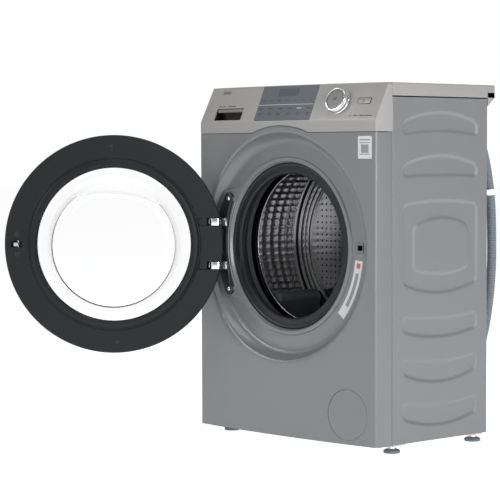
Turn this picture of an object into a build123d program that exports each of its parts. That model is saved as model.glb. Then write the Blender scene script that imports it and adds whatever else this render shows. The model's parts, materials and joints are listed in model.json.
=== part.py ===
from build123d import *

import math
import os

os.makedirs("parts", exist_ok=True)

# ---------------------------------------------------------------- driving dimensions
# Row frame: +Z up, front faces -Y, origin on the floor under the middle of the cabinet.

WIDTH = 595.0
HEIGHT = 850.0
HALF_W = WIDTH / 2
FRONT_Y = -200.0          # foremost line of the bowed front, on the centre line
BOW = 15.0                # how far the front's edges stand behind its middle
REAR_Y = 200.0            # rear edge of the side panels
WORKTOP_REAR_Y = 228.0    # worktop overhang behind the cabinet
FLANGE_Y = -130.0         # seam between front panel flange and side panel
SHEET = 0.8               # steel sheet
BASE_Z = 21.5             # lower edge of the panels
SIDE_TOP_Z = 817.0        # upper edge of the side panels
WORKTOP_Z = 820.0         # underside of the worktop
SEAM_Z = 737.5            # seam between front panel and console
SEAM_GAP = 0.8
CREASE_Z = 766.0          # line where the console starts to lean back
LEAN = 36.6               # how far the console leans back at its top
TOP_BOW = 22.9            # bow of the console's top edge
CONSOLE_WALL = 2.5

AXIS_Z = 470.0            # height of the drum, porthole and door axis
DISH_R = 269.0            # ring recess around the door
ARCH_R = 284.5            # arch of the console seam over the recess
RIM_R = 207.5             # porthole in the front panel
GASKET_R = 171.5          # free opening through the door gasket

DRUM_R = 241.2
DRUM_INNER_R = 240.0
DRUM_MOUTH_R = 184.0
DRUM_FRONT_Y = -94.0
DRUM_BACK_Y = 100.0
LIFTER_ANGLES = (222.0, 342.0, 102.0)

TUB_R = 258.0
TUB_INNER_R = 254.0
TUB_FRONT_Y = -120.0
TUB_SPLIT_Y = -40.0
TUB_BACK_Y = 119.0
TUB_WALL = 4.0
SHAFT_R = 15.0
BEARING_R = 31.0
RUNNING_GAP = 0.05        # radial clearance of a running fit

PULLEY_R = 130.0
MOTOR_PULLEY_R = 11.0
PULLEY_Y = (166.0, 182.0)
MOTOR_X, MOTOR_Z = -10.0, 118.0

DOOR_R = 265.0
DOOR_OPEN = 130.0         # door angle in the rest pose, from closed
DOOR_GRIP_Z = (428.0, 512.0)   # finger grip in the door's rim
HINGE_X, HINGE_Y = -235.0, -207.0
HINGE_PIN_R = 4.0
HINGE_ARM_DZ = 53.0       # arms above and below the door axis
HINGE_ARM_H = 17.5
LATCH_X, LATCH_Y, LATCH_Z = 233.0, -202.0, 472.0
LATCH_PIN_R = 2.5

DRAWER_EDGE_X = -90.5     # seam between drawer front and console
DRAWER_X = (-255.0, -118.0)
GRIP_X = (-245.0, -141.5)
GRIP_Z = (769.5, 798.0)
TOUCH_X = (-90.0, 98.0)
KNOB_X, KNOB_Z = 174.0, 807.0
KNOB_R = 30.0
KNOB_INNER_R = 24.5
KNOB_H = 18.0
BUTTON_R = 24.0
BUTTON_STEM_R = 5.0
POWER_X, POWER_Z = 247.0, 808.0
POWER_W, POWER_H = 36.0, 13.0

FLAP_X, FLAP_Z, FLAP_R = 215.0, 90.0, 58.0
FLAP_SKIN = 1.4
FLAP_HINGE_X = FLAP_X - 68.0   # gooseneck hinge, its pin behind the panel left of the hole
FLAP_PIN_DEPTH = 6.5           # pin's axis behind the panel's outer face
FLAP_EAR_DZ = 16.0             # hinge ears above and below the flap's middle
FILTER_R = 27.0

FOOT_X, FOOT_FRONT_Y, FOOT_REAR_Y = 272.0, -104.0, 178.0
FOOT_PAD_R = 19.5
FOOT_STEM_R = 5.0
BRACKET_Z = 16.5          # underside of the foot brackets

DAMPER_X, DAMPER_Y = 215.0, 45.0
SPRING_X, SPRING_Y = 175.0, 75.0
TRANSIT_X, TRANSIT_DZ, TRANSIT_R = 170.0, 170.0, 8.0
INLET_X, INLET_Z, INLET_R = -200.0, 770.0, 13.2
HOSE_R = 11.0


# ---------------------------------------------------------------- helpers

def block(x, y, z):
    """Box between the limits given as (low, high) on each axis."""
    size = [limit[1] - limit[0] for limit in (x, y, z)]
    middle = [(limit[1] + limit[0]) / 2 for limit in (x, y, z)]
    return Pos(*middle) * Box(*size)


def rod_y(radius, y, x=0.0, z=AXIS_Z):
    """Cylinder along Y between the two values of y."""
    return Pos(x, (y[0] + y[1]) / 2, z) * Rot(90, 0, 0) * Cylinder(radius, y[1] - y[0])


def ring_y(outer, inner, y, x=0.0, z=AXIS_Z):
    """Tube along Y."""
    return rod_y(outer, y, x, z) - rod_y(inner, (y[0] - 1, y[1] + 1), x, z)


def rod_z(radius, z, x, y):
    """Cylinder along Z between the two values of z."""
    return Pos(x, y, (z[0] + z[1]) / 2) * Cylinder(radius, z[1] - z[0])


def lathe(points, sweep=360.0):
    """Turns a closed outline of (radius, y) points about the drum axis."""
    face = make_face(Polyline(*[(r, y, AXIS_Z) for r, y in points], close=True))
    return revolve(face, axis=Axis((0, 0, AXIS_Z), (0, 1, 0)), revolution_arc=sweep)


def about_axis(shape, angle):
    """Turns a shape about the drum axis so that +X goes towards +Z."""
    return shape.rotate(Axis((0, 0, AXIS_Z), (0, 1, 0)), -angle)


def mirrored(shape):
    """The shape and its copy on the other side of X = 0."""
    return shape + mirror(shape, about=Plane.YZ)


def bow_face(z, apex_y, bow, half_width, back_y):
    """Plan outline with a bowed front edge."""
    side_y = apex_y + bow
    front = ThreePointArc((-half_width, side_y, z), (0, apex_y, z), (half_width, side_y, z))
    rest = Polyline((half_width, side_y, z), (half_width, back_y, z), (-half_width, back_y, z),
                    (-half_width, side_y, z))
    return make_face([*front.edges(), *rest.edges()])


def bow_y(x, bow=BOW):
    """How far the bowed surface stands behind its middle at x."""
    return bow * (x / HALF_W) ** 2


def door_open(shape):
    """Swings a piece of the closed door to the rest pose."""
    return shape.rotate(Axis((HINGE_X, HINGE_Y, 0), (0, 0, 1)), -DOOR_OPEN)


def write(name, shape):
    """Writes one node's STEP file."""
    export_step(shape, f"parts/{name}.step")


# ---------------------------------------------------------------- cabinet

def console_solid(shift, half_width=HALF_W, back_y=FLANGE_Y, top=HEIGHT, bottom=SEAM_Z):
    """The console's outer form with its front moved back by shift."""
    foot = bow_face(bottom, FRONT_Y + shift, BOW, half_width, back_y)
    lower = extrude(foot, CREASE_Z - bottom, dir=(0, 0, 1))
    share = (top - CREASE_Z) / (HEIGHT - CREASE_Z)
    upper = loft([
        bow_face(CREASE_Z, FRONT_Y + shift, BOW, half_width, back_y),
        bow_face(top, FRONT_Y + shift + LEAN * share, BOW + (TOP_BOW - BOW) * share, half_width, back_y),
    ], ruled=True)
    return lower + upper


def console_shell(shift):
    """Open-backed shell of the console."""
    hollow = console_solid(shift + CONSOLE_WALL, HALF_W - CONSOLE_WALL, FLANGE_Y + 20,
                           HEIGHT - CONSOLE_WALL, SEAM_Z - 5)
    return console_solid(shift) - hollow


def console_skin(depth):
    """The console's front face as a skin of the given depth along Y."""
    return console_solid(0) - console_solid(depth)


def console_normal(x):
    """Outward normal of the leaning face at x."""
    vector = Vector(2 * BOW * x / HALF_W ** 2, -1, LEAN / (HEIGHT - CREASE_Z))
    return vector.normalized()


def console_plane(x, z):
    """Plane on the leaning face, with its normal outwards."""
    share = (z - CREASE_Z) / (HEIGHT - CREASE_Z)
    y = FRONT_Y + LEAN * share + bow_y(x, BOW + (TOP_BOW - BOW) * share)
    normal = console_normal(x)
    across = Vector(0, 0, 1).cross(normal)
    return Plane(origin=(x, y, z), x_dir=across, z_dir=normal)


def seam_cut():
    """What lies under the console seam, arch included."""
    below = block((-400, 400), (-300, 0), (0, SEAM_Z + SEAM_GAP))
    return below + rod_y(ARCH_R + SEAM_GAP / 2, (-300, 0))


def build_console():
    """Console fascia, drawer front and touch panel."""
    left_limit = block((-400, DRAWER_EDGE_X + 0.3), (-300, 0), (0, 900))
    right = console_shell(0) - left_limit
    left = console_shell(3.4) & left_limit
    tray_way = block((DRAWER_X[0] - 4, DRAWER_X[1] + 4), (-300, -140), (745, 812))
    window = block((TOUCH_X[0] - 0.2, TOUCH_X[1] + 0.2), (-300, 0), (CREASE_Z + 0.6, 848.2))
    touch_pocket = console_skin(1.3) & window
    knob_hole = console_plane(KNOB_X, KNOB_Z) * Cylinder(8.4, 40)
    power_hole = console_plane(POWER_X, POWER_Z) * Box(POWER_W + 0.8, POWER_H + 0.8, 40)
    fascia = left + right - tray_way - touch_pocket - knob_hole - power_hole - seam_cut()
    write("console_fascia", fascia)
    touch = console_skin(1.2) & block(TOUCH_X, (-300, 0), (CREASE_Z + 0.8, 848))
    write("touch_panel", touch)
    write("control_board", build_control_board())


def build_control_board():
    """Electronics case behind the fascia with its connector row."""
    case = block((-80, 285), (-148, -134), (770, 812))
    sockets = [block((x, x + 22), (-134, -129), (778, 790)) for x in range(-60, 260, 50)]
    well = console_plane(KNOB_X, KNOB_Z) * Cylinder(9.0, 90)
    return case + sockets - well


def build_knob():
    """Programme selector ring, start button in its middle, and power key."""
    plane = console_plane(KNOB_X, KNOB_Z)
    ring = Pos(0, 0, 1.3) * extrude(Circle(KNOB_R), KNOB_H - 1.3)
    ring -= Pos(0, 0, 3.0) * extrude(Circle(KNOB_INNER_R), KNOB_H)
    ring += Pos(0, 0, -12) * extrude(Circle(8.0), 14)
    ring -= Pos(0, 0, -20) * extrude(Circle(BUTTON_STEM_R + RUNNING_GAP), 60)
    write("selector_ring", plane * ring)
    button = Pos(0, 0, 12) * extrude(Circle(BUTTON_R), 5)
    button += Pos(0, 0, -9) * extrude(Circle(BUTTON_STEM_R), 22)
    write("start_button", plane * button)
    key_plane = console_plane(POWER_X, POWER_Z)
    key = Pos(0, 0, -0.2) * Box(POWER_W, POWER_H, 3.2)
    key += Pos(0, 0, -4.3) * Box(10, 6, 5.0)
    write("power_button", key_plane * key)


def emboss_outline(y, low_ends, low_middle, high_ends, high_middle):
    """Band with arched lower and upper edges, on the plane X = 0."""
    middle = (y[0] + y[1]) / 2
    low = ThreePointArc((0, y[0], low_ends), (0, middle, low_middle), (0, y[1], low_ends))
    high = ThreePointArc((0, y[0], high_ends), (0, middle, high_middle), (0, y[1], high_ends))
    left = Line((0, y[0], low_ends), (0, y[0], high_ends))
    right = Line((0, y[1], low_ends), (0, y[1], high_ends))
    return make_face([*low.edges(), *right.edges(), *high.edges(), *left.edges()])


EMBOSS_Y = (-95.0, 165.0)
EMBOSS_DEPTH = 2.5
EMBOSS_BANDS = (
    # lower edge at its ends and middle, upper edge at its ends and middle
    (728.0, 738.0, 762.0, 785.0),
    (632.0, 636.0, 662.0, 685.0),
    (276.0, 260.0, 315.0, 308.0),
    (179.0, 155.0, 217.0, 206.5),
    (76.0, 54.0, 116.0, 105.5),
)
EMBOSS_RING = (387.0, 363.0, 570.0, 581.0)
EMBOSS_PAD_Y = (-58.0, 132.0)
EMBOSS_PAD = (421.0, 407.6, 519.0, 539.5)


def recess_sheet(sheet, outline):
    """Presses an outline into the sheet that stands at X = HALF_W, as a shallow pan."""
    at_face = Pos(HALF_W, 0, 0) * outline
    cut = extrude(at_face, SHEET + 0.2, dir=(-1, 0, 0))
    pan = extrude(at_face, EMBOSS_DEPTH + SHEET, dir=(-1, 0, 0))
    inside = offset(at_face, amount=-SHEET)
    pan -= extrude(inside, EMBOSS_DEPTH, dir=(-1, 0, 0))
    return sheet - cut + pan


def build_side_panels():
    """Side panels with pressed bands and returned edges."""
    sheet = block((HALF_W - SHEET, HALF_W), (FLANGE_Y + 0.3, REAR_Y), (BASE_Z, SIDE_TOP_Z))
    for band in EMBOSS_BANDS:
        sheet = recess_sheet(sheet, emboss_outline(EMBOSS_Y, *band))
    sheet = recess_sheet(sheet, emboss_outline(EMBOSS_Y, *EMBOSS_RING))
    pad = Pos(HALF_W - EMBOSS_DEPTH - SHEET, 0, 0) * emboss_outline(EMBOSS_PAD_Y, *EMBOSS_PAD)
    sheet += extrude(pad, EMBOSS_DEPTH + 0.4, dir=(1, 0, 0))
    sheet += block((HALF_W - 25, HALF_W), (REAR_Y - SHEET, REAR_Y), (BASE_Z, SIDE_TOP_Z))
    sheet += block((HALF_W - 8, HALF_W), (FLANGE_Y + 0.3, FLANGE_Y + 0.3 + SHEET), (BASE_Z, SIDE_TOP_Z))
    sheet += block((HALF_W - 18, HALF_W), (FLANGE_Y + 0.3, REAR_Y), (SIDE_TOP_Z - SHEET, SIDE_TOP_Z))
    write("right_side_panel", sheet)
    write("left_side_panel", mirror(sheet, about=Plane.YZ))


def build_front_panel():
    """Bowed front panel with the ring recess, porthole, latch slot and flap hole."""
    height = ARCH_R + AXIS_Z - BASE_Z
    outer = extrude(bow_face(BASE_Z, FRONT_Y, BOW, HALF_W, FLANGE_Y), height, dir=(0, 0, 1))
    inner = extrude(bow_face(BASE_Z - 5, FRONT_Y + SHEET, BOW, HALF_W - SHEET, FLANGE_Y + 30),
                    height + 10, dir=(0, 0, 1))
    kept = block((-400, 400), (-300, 0), (0, SEAM_Z)) + rod_y(ARCH_R - SEAM_GAP / 2, (-300, 0))
    panel = (outer - inner) & kept
    panel -= rod_y(DISH_R - 0.1, (-300, -150))
    wall = ring_y(DISH_R + 0.3, DISH_R - 0.5, (-205, -175.4)) & outer
    dish = lathe([
        (268.8, -177.0), (262, -171.2), (232, -169.6), (226, -172.4), (213, -171.4), (RIM_R, -167.5),
        (RIM_R, -160), (RIM_R + 1, -160), (RIM_R + 1, -166.9), (213.4, -170.4), (225.8, -171.4),
        (232, -168.6), (262.3, -170.2), (269.2, -175.6),
    ])
    panel = panel + wall + dish
    panel -= block((222, 246.5), (-180, -150), (460.5, 484.5))
    panel -= rod_y(FLAP_R + 1.0, (-215, -180), FLAP_X, FLAP_Z)
    ear_y = FRONT_Y + bow_y(FLAP_HINGE_X) + SHEET
    for middle in (FLAP_Z - FLAP_EAR_DZ, FLAP_Z + FLAP_EAR_DZ):
        span = (middle - 3, middle + 3)
        ear = block((FLAP_HINGE_X - 5, FLAP_HINGE_X + 4), (ear_y - 0.4, ear_y + 9), span)
        bore = rod_z(2 + RUNNING_GAP, (span[0] - 1, span[1] + 1), FLAP_HINGE_X, flap_pin_y())
        panel += ear - bore
    write("front_panel", panel)


def flap_pin_y():
    """Y of the service flap's hinge axis."""
    return FRONT_Y + bow_y(FLAP_HINGE_X) + FLAP_PIN_DEPTH


def build_service_flap():
    """Round flap over the pump filter, with its gooseneck arm and hinge pin."""
    outer = extrude(bow_face(0, FRONT_Y, BOW, HALF_W, FLANGE_Y), 200, dir=(0, 0, 1))
    inner = extrude(bow_face(-5, FRONT_Y + FLAP_SKIN, BOW, HALF_W + 5, FLANGE_Y + 30), 220, dir=(0, 0, 1))
    flap = (outer - inner) & rod_y(FLAP_R, (-215, -150), FLAP_X, FLAP_Z)
    x, y = FLAP_HINGE_X, flap_pin_y()
    arm_z = (FLAP_Z - 8, FLAP_Z + 8)
    arm = block((x - 3, x + 3), (y, y + 14.4), arm_z)
    arm += block((x - 3, x + 15), (y + 11.6, y + 14.4), arm_z)
    arm += block((x + 12, x + 15), (y - 4.9, y + 14.4), arm_z)
    arm += rod_z(3.4, (FLAP_Z - 12.5, FLAP_Z + 12.5), x, y)
    pin = rod_z(2.0, (FLAP_Z - 20, FLAP_Z + 20), x, y)
    write("service_flap", flap + arm + pin)


def build_base():
    """Base tray with foot brackets, and the locknuts under them."""
    tray = block((-288, 288), (-178, 196), (22.5, 42)) - block((-286.5, 286.5), (-176.5, 194.5), (24, 50))
    nuts = []
    for x, y in foot_places():
        bracket_y = (max(y - 30, -178), min(y + 30, 196))
        tray += block((x - 16, x + 16), bracket_y, (BRACKET_Z, 34))
        nut = extrude(Pos(x, y, 10.2) * RegularPolygon(9.8, 6), BRACKET_Z - 10.2)
        nuts.append(nut - rod_z(FOOT_STEM_R + RUNNING_GAP, (5, 40), x, y))
    for x, y in foot_places():
        tray -= rod_z(FOOT_STEM_R + RUNNING_GAP, (5, 40), x, y)
    for x in (-DAMPER_X, DAMPER_X):
        tray += block((x - 24, x + 24), (DAMPER_Y - 24, DAMPER_Y + 24), (24, 30))
    write("base_tray", tray)
    write("foot_locknuts", Compound(children=[Part() + nut for nut in nuts]))


def foot_places():
    """Plan positions of the four feet."""
    return [(sx * FOOT_X, y) for y in (FOOT_FRONT_Y, FOOT_REAR_Y) for sx in (-1, 1)]


def build_feet():
    """Four levelling feet: pad, stem and thread."""
    names = ("front_left", "front_right", "rear_left", "rear_right")
    for name, (x, y) in zip(names, foot_places()):
        pad = rod_z(FOOT_PAD_R, (0, 7), x, y) + Pos(x, y, 8.5) * Cone(FOOT_PAD_R, 12, 3)
        foot = pad + rod_z(FOOT_STEM_R, (8, 52), x, y)
        write(f"level_foot_{name}", foot)


def build_rear():
    """Rear panel, service cover, mains inlet and inlet valve."""
    panel = block((-284, 284), (REAR_Y + 0.2, REAR_Y + 0.2 + SHEET), (32, 796))
    panel += block((-240, -190), (REAR_Y - 2.6, REAR_Y + 0.3), (120, 700))
    panel += block((190, 225), (REAR_Y - 2.6, REAR_Y + 0.3), (230, 700))
    panel -= rod_y(120, (REAR_Y - 10, REAR_Y + 10))
    for x in (-TRANSIT_X, TRANSIT_X):
        for dz in (-TRANSIT_DZ, TRANSIT_DZ):
            panel -= rod_y(TRANSIT_R, (REAR_Y - 10, REAR_Y + 10), x, AXIS_Z + dz)
    panel -= rod_y(INLET_R + 2, (REAR_Y - 10, REAR_Y + 10), INLET_X, INLET_Z)
    panel -= rod_y(13.5, (REAR_Y - 10, REAR_Y + 10), GLAND_X, GLAND_Z)
    panel -= block((-262, -228), (REAR_Y - 10, REAR_Y + 10), (712, 738))
    write("rear_panel", panel)
    cover = rod_y(130, (REAR_Y + 1.1, REAR_Y + 1.9)) + rod_y(108, (REAR_Y + 1.1, REAR_Y + 4.5))
    write("rear_service_cover", cover - rod_y(107.2, (REAR_Y, REAR_Y + 3.7)))
    gland = block((-261, -229), (REAR_Y - 12, REAR_Y + 4), (713, 737))
    gland += rod_y(7.0, (REAR_Y + 4, REAR_Y + 14), -245, 725)
    gland -= rod_y(4.0, (REAR_Y - 20, REAR_Y + 20), -245, 725)
    write("mains_inlet", gland)
    valve = rod_y(INLET_R, (REAR_Y - 8, REAR_Y + 24), INLET_X, INLET_Z)
    valve += rod_y(INLET_R + 1.5, (REAR_Y - 14, REAR_Y + 4), INLET_X, INLET_Z)
    valve -= rod_y(8.5, (REAR_Y - 2, REAR_Y + 30), INLET_X, INLET_Z)
    valve += block((INLET_X - 22, INLET_X + 22), (REAR_Y - 46, REAR_Y - 14), (INLET_Z - 17, INLET_Z + 17))
    valve += rod_z(14, (INLET_Z - 48, INLET_Z - 17), INLET_X, REAR_Y - 30)
    valve += rod_y(9, (REAR_Y - 64, REAR_Y - 46), INLET_X, INLET_Z)
    write("inlet_valve", valve)


def build_top():
    """Worktop and the crossbars under it."""
    slab = block((-HALF_W, HALF_W), (FLANGE_Y + 0.4, WORKTOP_REAR_Y), (WORKTOP_Z, HEIGHT))
    slab -= block((-HALF_W + 3, HALF_W - 3), (FLANGE_Y + 3.4, REAR_Y - 2), (WORKTOP_Z - 2, HEIGHT - 3))
    skirt = make_face(Polyline((-HALF_W, REAR_Y + 1.6, 800), (-HALF_W, WORKTOP_REAR_Y, 821),
                               (-HALF_W, WORKTOP_REAR_Y, 830), (-HALF_W, REAR_Y + 1.6, 830), close=True))
    write("worktop", slab + extrude(skirt, WIDTH, dir=(1, 0, 0)))
    front = block((-278, 278), (-127, -100), (802, 815))
    front -= block((-300, 300), (-125.8, -101.2), (800, 813.8))
    rear = block((-278, 278), (SPRING_Y - 15, SPRING_Y + 15), (802, 815))
    rear -= block((-300, 300), (SPRING_Y - 13.8, SPRING_Y + 13.8), (803.2, 820))
    write("top_crossbars", Compound(children=[Part() + front, Part() + rear]))


# ---------------------------------------------------------------- dispenser drawer

def build_dispenser():
    """Drawer front with its grip recess, tray with three compartments, siphon cap and housing."""
    skin = console_skin(3.0) & block((-400, DRAWER_EDGE_X), (-300, 0), (0, 900))
    skin -= seam_cut()
    pocket = block((GRIP_X[0] - 2, GRIP_X[1] + 2), (-193, -158), (GRIP_Z[0] - 2, GRIP_Z[1] + 2))
    pocket &= console_solid(1.0)
    mouth = block(GRIP_X, (-300, -160), GRIP_Z)
    links = [block((x, x + 12), (-198, -158), (752, 762)) for x in (DRAWER_X[0] + 6, DRAWER_X[1] - 18)]
    front = (skin + pocket + [link & console_solid(1.0) for link in links]) - mouth
    write("drawer_front", front)
    tray = block(DRAWER_X, (-158, 35), (750, 792))
    for low, high in ((DRAWER_X[0] + 3, -212), (-209, -166), (-163, DRAWER_X[1] - 3)):
        tray -= block((low, high), (-154, 32), (753, 800))
    tray -= block((DRAWER_X[0] + 3, DRAWER_X[1] - 3), (10, 40), (770, 800))
    write("drawer_tray", tray)
    cap = block((-208.4, -166.6), (-100, -40), (782, 790)) - block((-205, -170), (-97, -43), (780, 788))
    cap += rod_z(7, (753.6, 789), -187.5, -70)
    write("siphon_cap", cap)
    housing = block((-262, -110), (-150, 46), (746, 799)) - block((-259, -113), (-160, 43), (749, 796))
    housing += rod_z(13.7, (734, 747), -185, -20)
    housing += rod_y(9, (46, 60), INLET_X, INLET_Z)
    write("dispenser_housing", housing)


# ---------------------------------------------------------------- door

def build_door():
    """Inner and outer door rings, glass bowl, hinge pins; all in the rest pose."""
    inner = lathe([
        (DOOR_R, -206), (DOOR_R, -198), (DOOR_R - 5, -190), (207, -190), (203, -184), (190, -182),
        (186, -185), (186, -194), (200, -194), (200, -206), (203, -206), (203, -193.5), (258.5, -193.5),
        (DOOR_R - 3.5, -198.5), (DOOR_R - 3.5, -206),
    ])
    for side in (-1, 1):
        arm_z = AXIS_Z + side * HINGE_ARM_DZ
        lug_z = [(arm_z - 19, arm_z - 10.6), (arm_z + 10.6, arm_z + 19)]
        for low, high in lug_z:
            inner += block((HINGE_X - 10, HINGE_X + 10), (HINGE_Y - 9, -192), (low, high))
        inner -= block((-280, -197), (-207, -170), (arm_z - 10.5, arm_z + 10.5))
        inner -= rod_z(HINGE_PIN_R, (arm_z - 17, arm_z + 17), HINGE_X, HINGE_Y)
    for low, high in ((458.0, 465.4), (478.6, 486.0)):
        inner += block((LATCH_X - 7, LATCH_X + 7), (-206, -192), (low, high))
    inner -= block((LATCH_X - 7, LATCH_X + 15), (-208, -180), (465.5, 478.5))
    inner -= rod_z(LATCH_PIN_R + RUNNING_GAP, (460, 484), LATCH_X, LATCH_Y)
    write("door_inner_ring", door_open(inner))
    pins = [rod_z(HINGE_PIN_R, (arm_z - 17, arm_z + 17), HINGE_X, HINGE_Y)
            for arm_z in (AXIS_Z - HINGE_ARM_DZ, AXIS_Z + HINGE_ARM_DZ)]
    write("hinge_pins", Compound(children=[Part() + door_open(pin) for pin in pins]))
    outer = lathe([
        (DOOR_R, -206.3), (263, -216), (252, -229), (235, -236), (215, -237), (196, -231), (184, -220),
        (178, -206), (178, -200.3), (199, -200.3), (199, -203.6), (182, -203.6), (182, -207), (187.5, -218),
        (198, -228), (216, -233.5), (234, -232.5), (250, -225.5), (260, -215), (DOOR_R - 3.5, -206.3),
    ])
    grip = lathe([(DOOR_R, -207), (263, -216), (252, -229), (235, -236), (215, -237), (215, -207)])
    outer += grip & block((215, 270), (-240, -200), DOOR_GRIP_Z)
    outer -= block((240, 270), (-224, -210), (DOOR_GRIP_Z[0] + 6, DOOR_GRIP_Z[1] - 6))
    write("door_outer_ring", door_open(outer))
    glass = lathe([
        (199, -200), (199, -194.3), (181, -194.3), (176, -184), (164, -166), (157, -140), (150, -116),
        (138, -106), (0, -103), (0, -108), (136, -111), (145, -119), (152, -141), (159, -168), (171, -187),
        (175, -196), (178, -200),
    ])
    write("door_glass", door_open(glass))
    write("latch_hook", door_open(build_latch()))


def build_latch():
    """Latch hook with its pivot pin, in the closed door's place."""
    hook = rod_z(5.0, (468, 476), LATCH_X, LATCH_Y)
    hook += block((LATCH_X - 3, LATCH_X + 3), (LATCH_Y, -160), (468, 476))
    hook += block((LATCH_X - 3, LATCH_X + 8), (-165, -159), (468, 476))
    hook += rod_z(LATCH_PIN_R, (460.5, 483.5), LATCH_X, LATCH_Y)
    return hook


def build_hinge():
    """Curved hinge bracket on the front panel and the two fixed arms that hold the pins."""
    strip = lathe([(210, -175.2), (222, -175.2), (222, -172.6), (210, -172.6)], 64)
    bracket = about_axis(strip, 180 + 32)
    for pad in hinge_pads():
        bracket += pad
    write("hinge_bracket", bracket)
    arms = []
    for side in (-1, 1):
        arm_z = AXIS_Z + side * HINGE_ARM_DZ
        span = (arm_z - HINGE_ARM_H / 2, arm_z + HINGE_ARM_H / 2)
        arm = rod_z(8.0, span, HINGE_X, HINGE_Y)
        arm += bar((HINGE_X, HINGE_Y), (-211, -193), 8.0, span)
        arm += rod_z(4.0, span, -211, -193)
        arm += bar((-211, -193), (-211, -175.4), 8.0, span)
        arm -= rod_z(HINGE_PIN_R + RUNNING_GAP, (span[0] - 1, span[1] + 1), HINGE_X, HINGE_Y)
        arms.append(arm)
    write("hinge_arms", Compound(children=[Part() + arm for arm in arms]))


def hinge_pads():
    """Screw pads at the two ends of the hinge bracket."""
    pads = []
    for angle in (150.0, 210.0):
        x = 217 * math.cos(math.radians(angle))
        z = AXIS_Z + 217 * math.sin(math.radians(angle))
        pads.append(rod_y(9.0, (-175.2, -172.6), x, z))
    return pads


def bar(start, end, thick, span):
    """Straight bar of given thickness between two plan points, over a span of Z."""
    length = math.dist(start, end)
    angle = math.degrees(math.atan2(end[1] - start[1], end[0] - start[0]))
    middle = ((start[0] + end[0]) / 2, (start[1] + end[1]) / 2, (span[0] + span[1]) / 2)
    return Pos(*middle) * Rot(0, 0, angle) * Box(length, thick, span[1] - span[0])


def build_door_lock():
    """Lock case behind the latch slot."""
    case = block((210, 264), (-168.0, -150.5), (440, 504))
    case -= block((220, 248), (-170, -153), (459, 486))
    write("door_lock", case)


def build_gasket():
    """Door gasket from the porthole rim to the tub's neck."""
    gasket = lathe([
        (206.8, -164.5), (176, -166), (GASKET_R, -162), (GASKET_R, -150), (174, -146), (195, -144.5),
        (194.4, -140), (194.4, -123), (203, -123), (203, -148), (177, -150.5), (176, -156), (206.8, -158),
    ])
    write("door_gasket", gasket)


# ---------------------------------------------------------------- tub

def build_tub():
    """Tub halves, clamped at a flange, with bearing boss, sump and lugs."""
    front = lathe([
        (188, -130), (194, -130), (194, TUB_FRONT_Y), (TUB_R, TUB_FRONT_Y), (TUB_R, -46), (268, -46),
        (268, TUB_SPLIT_Y - 0.1), (TUB_INNER_R, TUB_SPLIT_Y - 0.1), (TUB_INNER_R, TUB_FRONT_Y + TUB_WALL),
        (188, TUB_FRONT_Y + TUB_WALL),
    ])
    write("tub_front", front)
    rear = lathe([
        (TUB_INNER_R, TUB_SPLIT_Y), (268, TUB_SPLIT_Y), (268, -34), (TUB_R, -34),
        (TUB_R, TUB_BACK_Y + TUB_WALL), (48, TUB_BACK_Y + TUB_WALL), (44, 160), (BEARING_R, 160),
        (BEARING_R, TUB_BACK_Y + TUB_WALL + 0.2), (22, TUB_BACK_Y + TUB_WALL + 0.2), (22, TUB_BACK_Y),
        (TUB_INNER_R, TUB_BACK_Y),
    ])
    cavity = rod_y(TUB_INNER_R + 1, (-200, TUB_BACK_Y))
    sump_back = TUB_BACK_Y + TUB_WALL
    sump = block((-72, 72), (-30, sump_back), (192, 240)) - block((-69, 69), (-27, TUB_BACK_Y), (195, 300))
    rear -= block((-69, 69), (-27, TUB_BACK_Y), (195, 240))
    rear += sump - cavity
    for side in (-1, 1):
        x = side * DAMPER_X
        rear += block((x - 12, x + 12), (DAMPER_Y - 10, DAMPER_Y + 10), (306, 345)) - cavity
        x = side * SPRING_X
        rear += block((x - 12, x + 12), (SPRING_Y - 8, SPRING_Y + 8), (640, 680)) - cavity
    spigot = rod_z(14, (640, 674.5), -185, -20) - rod_z(11, (630, 680), -185, -20)
    rear = rear - rod_z(11, (630, 680), -185, -20) + (spigot - cavity)
    rear -= block((-36, 36), (TUB_BACK_Y - 2, sump_back + 1), (202, 224))
    outlet = rod_z(14, (180, 193), 50, 30) - rod_z(11, (170, 200), 50, 30)
    rear = rear - rod_z(11, (170, 200), 50, 30) + outlet
    write("tub_rear", rear)
    bolts = []
    for index in range(12):
        angle = math.radians(15 + 30 * index)
        x, z = 263.5 * math.cos(angle), AXIS_Z + 263.5 * math.sin(angle)
        heads = rod_y(4.4, (-50, -46), x, z) + rod_y(4.4, (-34, -31), x, z)
        bolts.append(rod_y(2.2, (-50, -30), x, z) + heads)
    write("tub_bolts", Compound(children=[Part() + bolt for bolt in bolts]))


def build_weights():
    """Concrete balance weights on the tub's front and top."""
    ring = ring_y(252, 207, (-147, TUB_FRONT_Y))
    ring -= block((206, 270), (-160, -110), (430, 512))
    ring += [rod_y(9, (-151, -147), 230 * math.cos(a), AXIS_Z + 230 * math.sin(a))
             for a in (math.radians(d) for d in (45, 135, 225, 315))]
    write("front_counterweight", ring)
    top = block((-95, 160), (-28, 100), (690, 784)) - rod_y(TUB_R + 0.3, (-60, 130))
    top -= block((-60, -20), (-40, 110), (770, 790)) + block((90, 130), (-40, 110), (770, 790))
    write("top_counterweight", top)


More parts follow.
